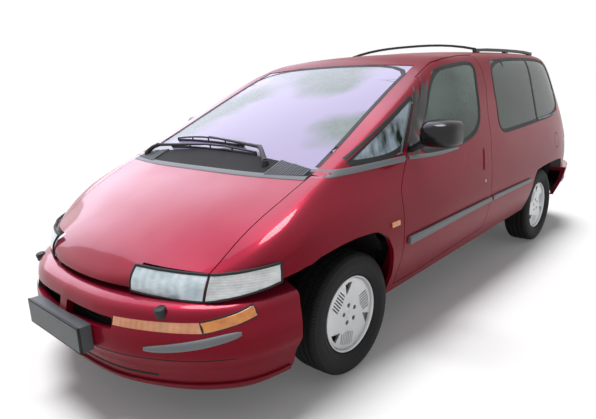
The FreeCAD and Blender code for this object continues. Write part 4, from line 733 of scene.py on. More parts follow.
class Form:
    """A piece while its mesh is being shaped."""

    def __init__(self, name: str) -> None:
        """Starts an empty piece."""
        self.name = name
        self.mesh = bmesh.new()
        self.mark = self.mesh.verts.layers.int.new("ring")

    def box(self, low: Triple, high: Triple, bevel: float = 0.0, segments: int = 3,
            turn: Matrix | None = None) -> None:
        """Adds a box between two corners, with round edges.

        Args:
            low: one corner.
            high: the opposite corner.
            bevel: radius of its edges.
            segments: steps of each round edge.
            turn: a transform applied last.
        """
        centre = (Vector(low) + Vector(high)) / 2
        scale = Vector(high) - Vector(low)
        place = Matrix.Translation(centre) @ Matrix.Diagonal((*scale, 1.0))
        made = bmesh.ops.create_cube(self.mesh, size=1.0, matrix=place)["verts"]
        if bevel > 0:
            edges = list({e for v in made for e in v.link_edges})
            made = self._whole(self._soften(made + edges, bevel, segments))
        if turn is not None:
            bmesh.ops.transform(self.mesh, matrix=turn, verts=made)

    def _soften(self, geom: list, width: float, segments: int = 3) -> list[bmesh.types.BMVert]:
        """Rounds edges off and returns the new vertices."""
        return bmesh.ops.bevel(self.mesh, geom=geom, offset=width, segments=segments,
                               profile=0.5, affect="EDGES", material=-1)["verts"]

    @staticmethod
    def _whole(seed: Iterable[bmesh.types.BMVert]) -> list[bmesh.types.BMVert]:
        """Every vertex joined to the given ones."""
        found = fresh = set(seed)
        while fresh:
            fresh = {edge.other_vert(vert) for vert in fresh for edge in vert.link_edges} - found
            found = found | fresh
        return list(found)

    def rod(self, start: Spot, end: Spot, radius: float, taper: float | None = None,
            sides: int = 24, bevel: float = 0.0) -> None:
        """Adds a round bar between two points."""
        a, b = Vector(start), Vector(end)
        way = b - a
        turn = way.to_track_quat("Z", "Y").to_matrix().to_4x4()
        place = Matrix.Translation((a + b) / 2) @ turn
        made = bmesh.ops.create_cone(self.mesh, cap_ends=True, segments=sides, radius1=radius,
                                     radius2=radius if taper is None else taper,
                                     depth=way.length, matrix=place)["verts"]
        if bevel > 0:
            rims = [e for e in {e for v in made for e in v.link_edges}
                    if any(len(f.verts) > 4 for f in e.link_faces)]
            self._soften(rims, bevel)

    def ball(self, centre: Spot, radii: Triple, rings: int = 16) -> None:
        """Adds a rounded lump."""
        place = Matrix.Translation(centre) @ Matrix.Diagonal((*radii, 1.0))
        bmesh.ops.create_uvsphere(self.mesh, u_segments=2 * rings, v_segments=rings, radius=1.0,
                                  matrix=place)

    def lathe(self, profile: Sequence[Pair], centre: Triple, steps: int = 64,
              way: float = 1.0) -> None:
        """Spins a profile of (radius, distance outward) about the wheel's own line.

        Args:
            profile: the closed profile.
            centre: a point on the line, which runs across the van.
            steps: how many steps the turn has.
            way: 1 if outward is to the left, -1 if to the right.
        """
        verts = [self.mesh.verts.new((centre[0], centre[1] + way * along, centre[2] + radius))
                 for radius, along in profile]
        edges = [self.mesh.edges.new((verts[i], verts[(i + 1) % len(verts)]))
                 for i in range(len(verts))]
        bmesh.ops.spin(self.mesh, geom=verts + edges, cent=centre, axis=(0, 1, 0), dvec=(0, 0, 0),
                       angle=math.tau, steps=steps, use_merge=True, use_duplicate=False)
        bmesh.ops.remove_doubles(self.mesh, verts=self.mesh.verts[:], dist=WELD)

    def loft(self, rings: Sequence[Sequence[Vector]], closed: bool = False) -> "Form":
        """Draws one closed section through a row of places.

        Args:
            rings: the section's points at each place, in the same order.
            closed: whether the last place joins the first.

        Returns:
            The form itself.
        """
        first = [self.mesh.verts.new(p) for p in rings[0]]
        for index, vert in enumerate(first):
            vert[self.mark] = index
        start = [self.mesh.edges.new((first[i], first[(i + 1) % len(first)]))
                 for i in range(len(first))]
        edges = start
        for ring in rings[1:]:
            made = bmesh.ops.extrude_edge_only(self.mesh, edges=edges)["geom"]
            fresh = [g for g in made if isinstance(g, bmesh.types.BMVert)]
            for vert in fresh:
                vert.co = ring[vert[self.mark]]
            new = set(fresh)
            edges = [g for g in made if isinstance(g, bmesh.types.BMEdge)
                     and g.verts[0] in new and g.verts[1] in new]
        if closed:
            bmesh.ops.bridge_loops(self.mesh, edges=start + edges)
        else:
            bmesh.ops.holes_fill(self.mesh, edges=start + edges, sides=0)
        return self

    def strip(self, path: Sequence[Pair], lay: Lay, out: Vector,
              section: Sequence[Pair], closed: bool = False, taper: float = 0.0) -> "Form":
        """Runs a section along a path that lies on the skin.

        Args:
            path: the path in the view that lay() reads.
            lay: puts a point of that view on the skin.
            out: the way off the skin.
            section: closed section as (across, off the skin).
            closed: whether the path returns to its start.
            taper: how much of its width it loses by its end.

        Returns:
            The form itself.
        """
        rings = []
        count = len(path)
        for i, (a, b) in enumerate(path):
            back = path[(i - 1) % count] if closed or i > 0 else path[i]
            ahead = path[(i + 1) % count] if closed or i < count - 1 else path[i]
            run = Vector((ahead[0] - back[0], ahead[1] - back[1]))
            run.normalize()
            ring = []
            narrow = 1.0 - taper * (i / max(1, count - 1)) ** 4
            for across, off in section:
                across *= narrow
                ring.append(lay(a - run.y * across, b + run.x * across) + out * off)
            rings.append(ring)
        return self.loft(rings, closed)

    def tube(self, path: Sequence[Vector], radius: float | Sequence[float],
             sides: int = 12) -> None:
        """Runs a round section along points in space."""
        rings = []
        for i, point in enumerate(path):
            way = path[min(i + 1, len(path) - 1)] - path[max(i - 1, 0)]
            way.normalize()
            side = way.cross(UP)
            if side.length < 0.05:
                side = way.cross(Vector((1.0, 0.0, 0.0)))
            side.normalize()
            over = side.cross(way)
            size = radius if isinstance(radius, float) else radius[i]
            rings.append([point + (side * math.cos(t) + over * math.sin(t)) * size
                          for t in turns(sides)])
        self.loft(rings)

    def panel(self, outline: Sequence[Vector], depth: Vector, bevel: float = 0.0) -> None:
        """Adds a plate from its outline and thickness."""
        verts = [self.mesh.verts.new(p) for p in outline]
        face = bmesh.ops.contextual_create(self.mesh, geom=verts)["faces"][0]
        made = bmesh.ops.extrude_face_region(self.mesh, geom=[face])["geom"]
        moved = [g for g in made if isinstance(g, bmesh.types.BMVert)]
        bmesh.ops.translate(self.mesh, verts=moved, vec=depth)
        if bevel > 0:
            edges = [e for e in {e for v in verts + moved for e in v.link_edges}
                     if len(e.link_faces) == 2 and e.calc_face_angle(0.0) > 0.5]
            self._soften(edges, bevel, 2)

    def baked(self) -> bpy.types.Mesh:
        """Ends the shaping and returns the mesh."""
        self.mesh.verts.layers.int.remove(self.mark)
        data = bpy.data.meshes.new(self.name)
        self.mesh.to_mesh(data)
        self.mesh.free()
        return data

    def done(self, body: str, finish: Material, angle: float = 40.0,
             stands_for: Sequence[str] = (), slot: str | None = None) -> None:
        """Turns the form into a piece that rides on a body.

        Args:
            body: the CAD body.
            finish: its material.
            angle: edges sharper than this stay sharp, in degrees.
            stands_for: CAD nodes that it replaces.
            slot: the name of a material slot; not used.
        """
        bmesh.ops.remove_doubles(self.mesh, verts=self.mesh.verts[:], dist=WELD)
        bmesh.ops.recalc_face_normals(self.mesh, faces=self.mesh.faces[:])
        data = self.baked()
        data.shade_smooth()
        data.set_sharp_from_angle(angle=math.radians(angle))
        data.materials.append(finish)
        piece = shown(self.name, data)
        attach(piece, body)
        if stands_for:
            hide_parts(*stands_for)
        LOG.info("piece %s on %s", self.name, body)


def shown(name: str, data: bpy.types.ID) -> bpy.types.Object:
    """Puts an object with the given data into the scene."""
    item = bpy.data.objects.new(name, data)
    bpy.context.scene.collection.objects.link(item)
    return item


def evaluated(item: bpy.types.Object) -> bpy.types.Mesh:
    """The object's mesh with its modifiers applied."""
    graph = bpy.context.evaluated_depsgraph_get()
    return bpy.data.meshes.new_from_object(item.evaluated_get(graph))


def bead(width: float, proud: float, sink: float = 0.004, edge: float = 0.25) -> list[Pair]:
    """Section of a strip with round shoulders, as (across, off the skin)."""
    half = width / 2
    inset = width * edge
    return [(-half, -sink), (-half, proud * 0.4), (-half + inset * 0.4, proud * 0.85),
            (-half + inset, proud), (half - inset, proud), (half - inset * 0.4, proud * 0.85),
            (half, proud * 0.4), (half, -sink)]


# ---- The CAD nodes ---------------------------------------------------------------------------


def smoothing(angle: float) -> bpy.types.NodeTree:
    """Node group of the modifier that shades a CAD node smooth over its shallow edges.

    Args:
        angle: edges sharper than this stay sharp, in degrees.

    Returns:
        The node group.
    """
    tree = bpy.data.node_groups.new("smooth_shading", "GeometryNodeTree")
    tree.interface.new_socket("Geometry", in_out="INPUT", socket_type="NodeSocketGeometry")
    tree.interface.new_socket("Geometry", in_out="OUTPUT", socket_type="NodeSocketGeometry")
    start = tree.nodes.new("NodeGroupInput")
    end = tree.nodes.new("NodeGroupOutput")
    merge = tree.nodes.new("GeometryNodeMergeByDistance")
    merge.inputs["Distance"].default_value = CAD_WELD
    smooth = tree.nodes.new("GeometryNodeSetShadeSmooth")
    smooth.domain = "FACE"
    sharp = tree.nodes.new("GeometryNodeSetShadeSmooth")
    sharp.domain = "EDGE"
    sharp.inputs["Shade Smooth"].default_value = False
    edge = tree.nodes.new("GeometryNodeInputMeshEdgeAngle")
    compare = tree.nodes.new("FunctionNodeCompare")
    compare.operation = "GREATER_THAN"
    compare.inputs[1].default_value = math.radians(angle)
    for source, output, target, entry in (
            (start, 0, merge, "Geometry"), (merge, 0, smooth, "Geometry"),
            (smooth, 0, sharp, "Geometry"), (edge, "Unsigned Angle", compare, 0),
            (compare, 0, sharp, "Selection"), (sharp, 0, end, 0)):
        tree.links.new(source.outputs[output], target.inputs[entry])
    return tree


class CarriedNodes:
    """Dresses the CAD nodes that stay in view."""

    def __init__(self, finishes: Finishes) -> None:
        """Keeps the finishes."""
        self.finishes = finishes

    def table(self) -> dict[str, Material]:
        """Which finish each CAD node wears, also the nodes that pieces replace."""
        f = self.finishes
        rows = (
            (f.paint, "side_left side_right roof_panel fender_left fender_right front_fascia "
                      "rear_bumper sliding_door hood tailgate door_left door_right fuel_flap"),
            (f.cowl, "cowl_panel"), (f.black, "wipers mirror_left mirror_right"),
            (f.plate, "plate_holder"), (f.dash, "dashboard steering_column steering_wheel"),
            (f.windscreen, "windscreen"), (f.clear, "door_glass_left door_glass_right"),
            (f.dark, "fixed_glass tailgate_glass"), (f.headlamp, "headlamps"),
            (f.corner, "corner_lamps"), (f.pale_amber, "indicator_lamps"), (f.red, "tail_lamps"),
            (f.trim, "side_mouldings door_moulding_left door_moulding_right"),
            (f.cloth, "front_seats second_seats third_seat"),
            (f.underseal, "seat_bases subframe fuel_tank"), (f.cast, "engine_block rear_axle"),
            (f.steel, "radiator knuckle_left knuckle_right"), (f.rust, "exhaust"),
            (f.rack, "roof_rack"), (f.floor, "floor_pan"),
            (f.wheel, "wheel_front_left wheel_front_right wheel_rear_left wheel_rear_right"),
            (f.front_tyre, "tyre_front_left tyre_front_right"),
            (f.rear_tyre, "tyre_rear_left tyre_rear_right"))
        return {name: finish for finish, names in rows for name in names.split()}

    def dress(self) -> None:
        """Gives every node its finish and smooth shading."""
        group = smoothing(CAD_SHARP)
        for name, finish in self.table().items():
            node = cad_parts[name]
            if node.material_slots:
                for slot in node.material_slots:
                    slot.material = finish
            else:
                node.data.materials.append(finish)
            node.modifiers.new("smooth_shading", "NODES").node_group = group
            LOG.info("node %s wears %s", name, finish.name)


# ---- Outlines on the skin, in metres ---------------------------------------------------------

DOOR_WINDOW = ((0.762, 1.069), (0.606, 1.231), (0.388, 1.504), (0.07, 1.536), (-0.243, 1.555),
               (-0.179, 1.421), (-0.152, 1.307), (-0.113, 1.217), (-0.064, 1.151),
               (0.043, 1.094), (0.217, 1.062), (0.529, 1.048))
QUARTER_WINDOW = ((1.375, 1.076), (1.28, 1.115), (1.026, 1.223), (0.793, 1.322),
                  (0.662, 1.378), (0.777, 1.22), (0.896, 1.076))
REAR_WINDOW = ((-0.547, 1.567), (-0.464, 1.399), (-0.437, 1.239), (-0.393, 1.142),
               (-0.421, 1.072), (-0.506, 1.064), (-1.125, 1.082), (-1.793, 1.103),
               (-1.903, 1.276), (-1.884, 1.449), (-1.838, 1.555), (-1.369, 1.578))


@dataclass
class WindowTrim:
    """Rubber seals, grey belt strips and posts between the panes."""

    finishes: Finishes
    skin: Skin
    seal_width: float = 0.026
    belt_width: float = 0.030

    def build(self) -> None:
        """Builds the trim on both sides."""
        for side in Side:
            for name, outline, body in (("door_window", DOOR_WINDOW, side.door),
                                        ("quarter", QUARTER_WINDOW, "body"),
                                        ("rear_window", REAR_WINDOW, "body")):
                path = spaced(rounded(outline, True, 3), 0.018, True)
                Form(f"{name}_seal_{side.word}").strip(
                    path, self.skin.side(side), side.out, bead(self.seal_width, 0.0025),
                    True).done(body, self.finishes.seal)
            self.strips(side)

    def strips(self, side: Side) -> None:
        """Builds the grey strips under the windows and the posts between the panes."""
        f = self.finishes
        belt = bead(self.belt_width, 0.0045)
        rows = (("belt_strip_front", ((1.492, 1.049), (1.30, 1.050), (1.05, 1.050), (0.893, 1.050)),
                 2, belt, 0.0, "body", f.grey),
                ("belt_strip_door", ((0.855, 1.050), (0.60, 1.034), (0.30, 1.036)),
                 2, bead(self.belt_width * 0.7, 0.0045), 0.4, side.door, f.grey),
                ("belt_strip_rear", ((-1.22, 1.0895), (-1.50, 1.097), (-1.795, 1.106)),
                 2, bead(0.010, 0.0045), 0.0, "body", f.grey),
                ("rear_pane_division",
                 ((-1.328, 1.572), (-1.275, 1.39), (-1.219, 1.19), (-1.190, 1.086)),
                 0, bead(0.034, 0.0030), 0.0, "body", f.seal),
                ("fixed_pane_post",
                 ((0.876, 1.072), (0.754, 1.220), (0.640, 1.376), (0.572, 1.462)),
                 2, bead(0.048, 0.0018, 0.004, 0.06), 0.60, "body", f.gloss_black),
                ("door_window_post",
                 ((0.806, 1.066), (0.672, 1.222), (0.556, 1.376), (0.482, 1.470)),
                 2, bead(0.094, 0.0018, 0.004, 0.06), 0.60, side.door, f.gloss_black),
                ("fixed_pane_rib", ((0.906, 1.092), (0.795, 1.230), (0.690, 1.362)),
                 0, bead(0.014, 0.0032), 0.0, "body", f.grey))
        for name, points, passes, section, taper, body, finish in rows:
            Form(f"{name}_{side.word}").strip(
                spaced(rounded(points, passes=passes), 0.02), self.skin.side(side), side.out,
                section, taper=taper).done(body, finish)


@dataclass
class ScreenSurround:
    """Black band round the windscreen, grey strip ahead of the cowl, and the cowl's slats."""

    finishes: Finishes
    skin: Skin

    def build(self) -> None:
        """Builds the band, the strip and the cowl's louvres."""
        lay = self.skin.top()
        rows = (("screen_band", ((1.440, 0.722), (1.25, 0.708), (0.988, 0.680), (0.696, 0.651),
                                 (0.395, 0.622), (0.387, 0.0)),
                 bead(0.030, 0.0015, 0.006), self.finishes.seal),
                ("cowl_front_strip", ((1.537, 0.733), (1.575, 0.55), (1.597, 0.38),
                                      (1.606, 0.19), (1.608, 0.0)),
                 bead(0.036, 0.0045), self.finishes.grey))
        for name, half, section, finish in rows:
            path = spaced(rounded(both_sides(half)), 0.025)
            Form(name).strip(path, lay, UP, section).done("body", finish)
        self.louvres(lay)

    def louvres(self, lay: Lay) -> None:
        """Builds rows of slats at both ends of the cowl."""
        form = Form("cowl_louvres")
        for side in Side:
            for k in range(14):
                y = side.value * (0.706 - 0.0160 * k)
                rear = lay(1.474 - 0.002 * k, y) + UP * 0.003
                front = lay(1.532 + 0.0035 * k, y) + UP * 0.003
                form.box((-0.5, -0.5, -0.5), (0.5, 0.5, 0.5), turn=self.slat(rear, front))
        form.done("body", self.finishes.grey, 30.0)

    @staticmethod
    def slat(rear: Vector, front: Vector) -> Matrix:
        """Transform of a unit box to one slat between two points."""
        way = front - rear
        turn = way.to_track_quat("X", "Z").to_matrix().to_4x4()
        return Matrix.Translation((rear + front) / 2) @ turn @ Matrix.Diagonal(
            (way.length, SLAT_WIDTH, SLAT_HEIGHT, 1.0))


@dataclass
class Wipers:
    """Two wipers parked over the foot of the windscreen."""

    finishes: Finishes
    skin: Skin

    def build(self) -> None:
        """Builds both wipers."""
        lay = self.skin.top()
        specs = (((1.506, 0.430), (1.424, 0.315), (1.352, -0.200), (1.382, 0.140),
                  (1.340, -0.540)),
                 ((1.508, -0.655), (1.462, -0.590), (1.428, -0.120), (1.440, 0.300),
                  (1.420, -0.500)))
        form = Form("wiper_arms")
        blades = Form("wiper_blades")
        for pivot, elbow, joint, end_a, end_b in specs:
            base = lay(*pivot)
            head = base + UP * 0.026
            form.rod(base - UP * 0.02, head, 0.021, 0.017, 24, 0.003)
            bend = lay(*elbow) + UP * 0.040
            hold = lay(*joint) + UP * 0.030
            form.tube([head - UP * 0.006, head.lerp(bend, 0.5) + UP * 0.004, bend,
                       *(bend.lerp(hold, t) for t in (0.06, 0.4, 0.8)), hold],
                      [0.015, 0.013, 0.013, 0.010, 0.0085, 0.0065, 0.005], 10)
            row = [lay(*(a + (b - a) * i / BLADE_STEPS for a, b in zip(end_a, end_b)))
                   for i in range(BLADE_STEPS + 1)]
            blades.tube([p + UP * 0.007 for p in row], 0.0060, 8)
            spine = [p + UP * (0.018 + 0.012 * math.sin(math.pi * i / BLADE_STEPS))
                     for i, p in enumerate(row)]
            form.tube(spine, 0.0055, 8)
            for i in range(0, BLADE_STEPS + 1, 3):
                form.rod(row[i] + UP * 0.004, spine[i], 0.0045, None, 8)
        form.done("body", self.finishes.black, 35.0, ("wipers",), "black_plastic")
        blades.done("body", self.finishes.seal, 35.0)


def flowing(points: Sequence[Row], steps: int) -> list[Row]:
    """Runs a smooth curve through rows of numbers.

    Args:
        points: the rows that it passes.
        steps: how many steps each stretch between two rows has.

    Returns:
        The rows of the curve.
    """
    result = []
    last = len(points) - 1
    for k in range(last):
        before, start, end, after = (points[max(k - 1, 0)], points[k], points[k + 1],
                                     points[min(k + 2, last)])
        for i in range(steps):
            t = i / steps
            result.append(tuple(
                0.5 * (2 * b + (c - a) * t + (2 * a - 5 * b + 4 * c - d) * t * t
                       + (3 * b - a - 3 * c + d) * t ** 3)
                for a, b, c, d in zip(before, start, end, after)))
    result.append(tuple(points[last]))
    return result


@dataclass
class FrontLamps:
    """Clear headlamps and ribbed lamps at the corners, in black frames.

    Each row is one upright section of the lens: x, y and z of its foot, z of its top, how far
    its top leans back, and how far it slants outwards.
    """

    finishes: Finishes
    head: tuple[Row, ...] = (
        (2.293, 0.377, 0.6370, 0.7390, 0.034, 0.012), (2.281, 0.420, 0.6350, 0.7375, 0.034, 0.014),
        (2.256, 0.500, 0.6310, 0.7350, 0.031, 0.018), (2.216, 0.600, 0.6260, 0.7320, 0.028, 0.023),
        (2.190, 0.650, 0.6235, 0.7300, 0.026, 0.025), (2.160, 0.699, 0.6215, 0.7285, 0.022, 0.026))
    corner: tuple[Row, ...] = (
        (2.155, 0.706, 0.6215, 0.7290, 0.021, 0.026), (2.127, 0.745, 0.6265, 0.7310, 0.015, 0.020),
        (2.084, 0.785, 0.6330, 0.7345, 0.009, 0.013), (2.029, 0.826, 0.6420, 0.7395, 0.004, 0.006),
        (1.957, 0.866, 0.6560, 0.7460, 0.001, 0.002), (1.889, 0.891, 0.6710, 0.7510, 0.0, 0.0))
    rows: int = 8
    deep: float = 0.012
    rim_radius: float = 0.0072
    foot_radius: float = 0.0050

    def build(self) -> None:
        """Builds the lamps of both sides."""
        for side in Side:
            self.lamp(side, "headlamp", self.head, self.finishes.headlamp)
            self.lamp(side, "corner_lamp", self.corner, self.finishes.corner)

    def lamp(self, side: Side, name: str, rows: Sequence[Row], finish: Material) -> None:
        """Builds one lens and the frame round it."""
        columns = flowing(rows, 5)
        front: list[list[Vector]] = []
        rings = []
        for i, (x, y, low, high, lean, slant) in enumerate(columns):
            back = columns[max(i - 1, 0)]
            ahead = columns[min(i + 1, len(columns) - 1)]
            out = Vector((ahead[1] - back[1], back[0] - ahead[0], 0.0)).normalized()
            face = []
            for k in range(self.rows + 1):
                t = k / self.rows
                spot = Vector((x, y, low + (high - low) * t)) - out * lean * t ** 2.6
                spot += out * 0.004 * math.sin(math.pi * t)
                spot += Vector((-out.y, out.x, 0.0)) * slant * t
                face.append(Vector((spot.x, spot.y * side.value, spot.z)))
            way = Vector((out.x, out.y * side.value, 0.0))
            front.append(face)
            rings.append(face + [p - way * self.deep for p in reversed(face)])
        Form(f"{name}_lens_{side.word}").loft(rings).done(
            "body", finish, stands_for=(f"{name}s",), slot="lamp_glass")
        lift = Vector((-0.004, 0.0, 0.003))
        rim = [column[-1] + lift for column in front]
        foot = [column[0] for column in front]
        edging = Form(f"{name}_frame_{side.word}")
        if name == "headlamp":
            path = rim[::-1] + front[0][-2::-1] + foot[1:]
        else:
            path = rim + front[-1][-2:0:-1] + foot[::-1]
            edging.tube(front[0], 0.0036, 8)
        edging.tube(path, [self.rim_radius if i < len(rim) else self.foot_radius
                           for i in range(len(path))], 8)
        edging.done("body", self.finishes.seal, 50.0)


def bands(skin: Skin, specs: Sequence[tuple], middle: float = 0.0, hub_x: float = 1.55) -> None:
    """Runs narrow bands round a bumper, which fade out towards both ends.

    Args:
        skin: the van's outside.
        specs: for each band its name, half its reach in radians, its height, width and how far
            it stands off, its finish, and the share of its width in each shoulder.
        middle: where the bands have their middle, as a turn about the hub.
        hub_x: where the upright line stands that they turn about.
    """
    for name, reach, height, width, proud, finish, edge in specs:
        rings = []
        for i in range(BAND_STEPS + 1):
            along = 2 * i / BAND_STEPS - 1
            fade = min(1.0, 12.0 * (1.0 - abs(along)) + 0.15)
            ring = []
            for across, off in bead(width, proud * fade, 0.006, edge):
                point, way = skin.round_nose(middle + reach * along, height + across, hub_x)
                ring.append(point + way * off)
            rings.append(ring)
        Form(name).loft(rings).done("body", finish)


@dataclass
class NoseFittings:
    """Rub strips, washers, markers, grille mesh with painted shade sheets, painted shade lines,
    splash tray and the blank plate.
    """

    finishes: Finishes
    skin: Skin
    plate_x: float = 2.4950

    def build(self) -> None:
        """Builds everything on the nose."""
        for side in Side:
            self.rub_strip(side)
            self.washer(side)
            self.marker(side)
        self.grille_blinds()
        self.undertray()
        f = self.finishes
        # The recess and crease bands are painted shade: dark lines where the bumper's recess and
        # crease fall into shade.
        bands(self.skin, (("chin_lip", 1.50, 0.243, 0.030, 0.016, f.paint, 0.35),
                          ("chin_recess", 0.62, 0.292, 0.011, 0.0010, f.slot, 0.2),
                          ("bumper_crease", 0.98, 0.392, 0.006, 0.0006, f.slot, 0.2)))
        self.plate()

    def rub_strip(self, side: Side) -> None:
        """Builds the grey strip on one corner of the bumper."""
        points = [Vector(p) for p in (
            (2.384, 0.560, 0.436), (2.352, 0.640, 0.444), (2.300, 0.715, 0.456),
            (2.230, 0.790, 0.472), (2.150, 0.845, 0.490), (2.095, 0.868, 0.500))]
        rings = []
        steps = 28
        for i in range(steps + 1):
            t = i / steps * (len(points) - 1)
            k = min(int(t), len(points) - 2)
            spot = points[k].lerp(points[k + 1], t - k)
            spot.y *= side.value
            way = Vector((spot.x - 1.80, spot.y, 0)).normalized()
            grow = math.sin(math.pi * (i + 0.6) / (steps + 1.2)) ** 0.35
            ring = []
            for across, off in bead(0.038 * grow, 0.011 * grow, 0.008, 0.3):
                base = self.skin.cast(spot + way * 0.5 + UP * across, -way) or spot
                ring.append(base + way * off)
            rings.append(ring)
        Form(f"rub_strip_{side.word}").loft(rings).done("body", self.finishes.grey, 50.0)

    def washer(self, side: Side) -> None:
        """Builds one headlamp washer."""
        lay = self.skin.front()
        x, y, z = lay(side.value * 0.585, 0.588)
        form = Form(f"headlamp_washer_{side.word}")
        form.rod((x - 0.006, y, z - 0.016), (x - 0.004, y, z + 0.004), 0.024, None, 32, 0.002)
        form.rod((x - 0.004, y, z + 0.003), (x + 0.001, y, z + 0.024), 0.027, 0.025, 32, 0.005)
        form.done("body", self.finishes.black)

    def marker(self, side: Side) -> None:
        """Builds the amber marker on one side of the bumper and the fender's repeater."""
        f = self.finishes
        frame_line = ((2.200, 0.510), (2.015, 0.557), (2.015, 0.603), (2.200, 0.556))
        rows = (("side_marker", ((2.196, 0.533), (2.10, 0.556), (2.022, 0.580)), 0.012, False,
                 bead(0.040, 0.004, 0.006, 0.15), f.amber),
                ("side_marker_frame", frame_line, 0.012, True, bead(0.006, 0.002), f.seal),
                ("fender_repeater", ((1.133, 0.742), (1.058, 0.742)), 0.008, False,
                 bead(0.028, 0.007), f.amber))
        for name, points, step, closed, section, finish in rows:
            Form(f"{name}_{side.word}").strip(
                spaced(points, step, closed), self.skin.side(side), side.out, section,
                closed).done("body", finish, 45.0)

    def undertray(self) -> None:
        """Builds the splash tray between the nose and the front wheels."""
        half = ((1.76, 0.83), (1.94, 0.79), (2.10, 0.66), (2.22, 0.48), (2.29, 0.28))
        outline = [Vector((x, y, 0.300)) for x, y in both_sides(half)]
        form = Form("splash_tray")
        form.panel(outline, UP * 0.008, 0.002)
        form.done("body", self.finishes.black)

    def grille_blinds(self) -> None:
        """Builds the dark mesh behind the lower openings, and near-black sheets behind and beside
        it as painted shade.
        """
        form = Form("lower_grille")
        # Painted shade: a near-black sheet behind the openings; the boxes below are near-black
        # walls beside them.
        form.box((2.325, -0.410, 0.375), (2.335, 0.410, 0.590))
        bars, struts = 5, 14
        for s in (1, -1):
            near, far = sorted((s * 0.398, s * 0.412))
            form.box((2.240, near, 0.452), (2.352, far, 0.588))
            low, high = sorted((s * 0.030, s * 0.384))
            for k in range(bars):
                z = 0.482 + 0.017 * k
                form.rod((2.362, low, z), (2.362, high, z), 0.0030, None, 8)
            for k in range(struts):
                y = low + (high - low) * (k + 0.5) / struts
                form.rod((2.352, y, 0.474), (2.352, y, 0.556), 0.0025, None, 8)
        form.done("body", self.finishes.slot, 35.0)

    def plate(self) -> None:
        """Builds the blank plate in its frame."""
        face = self.plate_x
        form = Form("plate_frame")
        for low, high in (((-0.262, 0.378), (0.262, 0.386)), ((-0.262, 0.492), (0.262, 0.500)),
                          ((-0.262, 0.378), (-0.254, 0.500)), ((0.254, 0.378), (0.262, 0.500))):
            form.box((face - 0.012, *low), (face, *high), 0.002)
        form.done("body", self.finishes.black)
        ribs = Form("plate_ribs")
        for k in range(5):
            z = 0.397 + 0.021 * k
            for j in range(9):
                y = -0.228 + 0.057 * j
                ribs.box((face - 0.004, y - 0.020, z - 0.0032),
                         (face - 0.0005, y + 0.020, z + 0.0032), 0.001, 2)
        ribs.done("body", self.finishes.plate)


@dataclass
class DoorFittings:
    """Handles, locks and insert lines on the doors, and the sliding door's rail."""

    finishes: Finishes
    skin: Skin

    def build(self) -> None:
        """Builds the fittings on both sides."""
        for side in Side:
            self.handle(f"door_handle_{side.word}", f"door_pull_{side.word}", side, side.door,
                        (-0.056, -0.036, -0.014))
            lock = Form(f"door_lock_{side.word}")
            spot = self.skin.side(side)(-0.026, 0.780)
            lock.rod(spot - side.out * 0.004, spot + side.out * 0.003, 0.011, 0.010, 24, 0.001)
            lock.done(side.door, self.finishes.steel)
            self.insert(side)
        self.handle("sliding_door_handle", "sliding_door_pull", Side.RIGHT, "body",
                    (-0.232, -0.224, -0.214))
        Form("sliding_door_rail").strip(
            spaced(((-1.235, 0.985), (-1.60, 0.990), (-2.02, 0.998)), 0.03),
            self.skin.side(Side.RIGHT), Side.RIGHT.out, bead(0.013, 0.0012, 0.003, 0.1)).done(
                "body", self.finishes.slot)

    def handle(self, well: str, pull: str, side: Side, body: str, places: Triple) -> None:
        """Builds a handle's dark well, which is painted shade in its recess, and the pull in body
        paint in it.

        Args:
            well: the well's name.
            pull: the pull's name.
            side: the side of the van.
            body: what the handle rides on.
            places: x of its top, middle and foot.
        """
        path = spaced(list(zip(places, (0.990, 0.925, 0.853))), 0.01)
        # The well is painted shade: a dark band round the pull where the handle's recess falls into
        # shade.
        for name, part, section, finish in (
                (well, path, bead(0.036, 0.0012, 0.004, 0.10), self.finishes.seal),
                (pull, path[1:-1], bead(0.024, 0.007, 0.002, 0.35), self.finishes.paint)):
            Form(name).strip(part, self.skin.side(side), side.out, section).done(body, finish)

    def insert(self, side: Side) -> None:
        """Builds the bright insert line along the side mouldings."""
        start = -0.285 if side is Side.RIGHT else -0.155
        rows = (("door", ((0.955, 0.622), (-0.112, 0.642)), side.door),
                ("body", ((start, 0.643), (-0.90, 0.641)), "body"))
        for name, points, body in rows:
            Form(f"moulding_insert_{name}_{side.word}").strip(
                spaced(points, 0.03), self.skin.side(side), side.out,
                bead(0.010, 0.0012, 0.003)).done(body, self.finishes.grey)


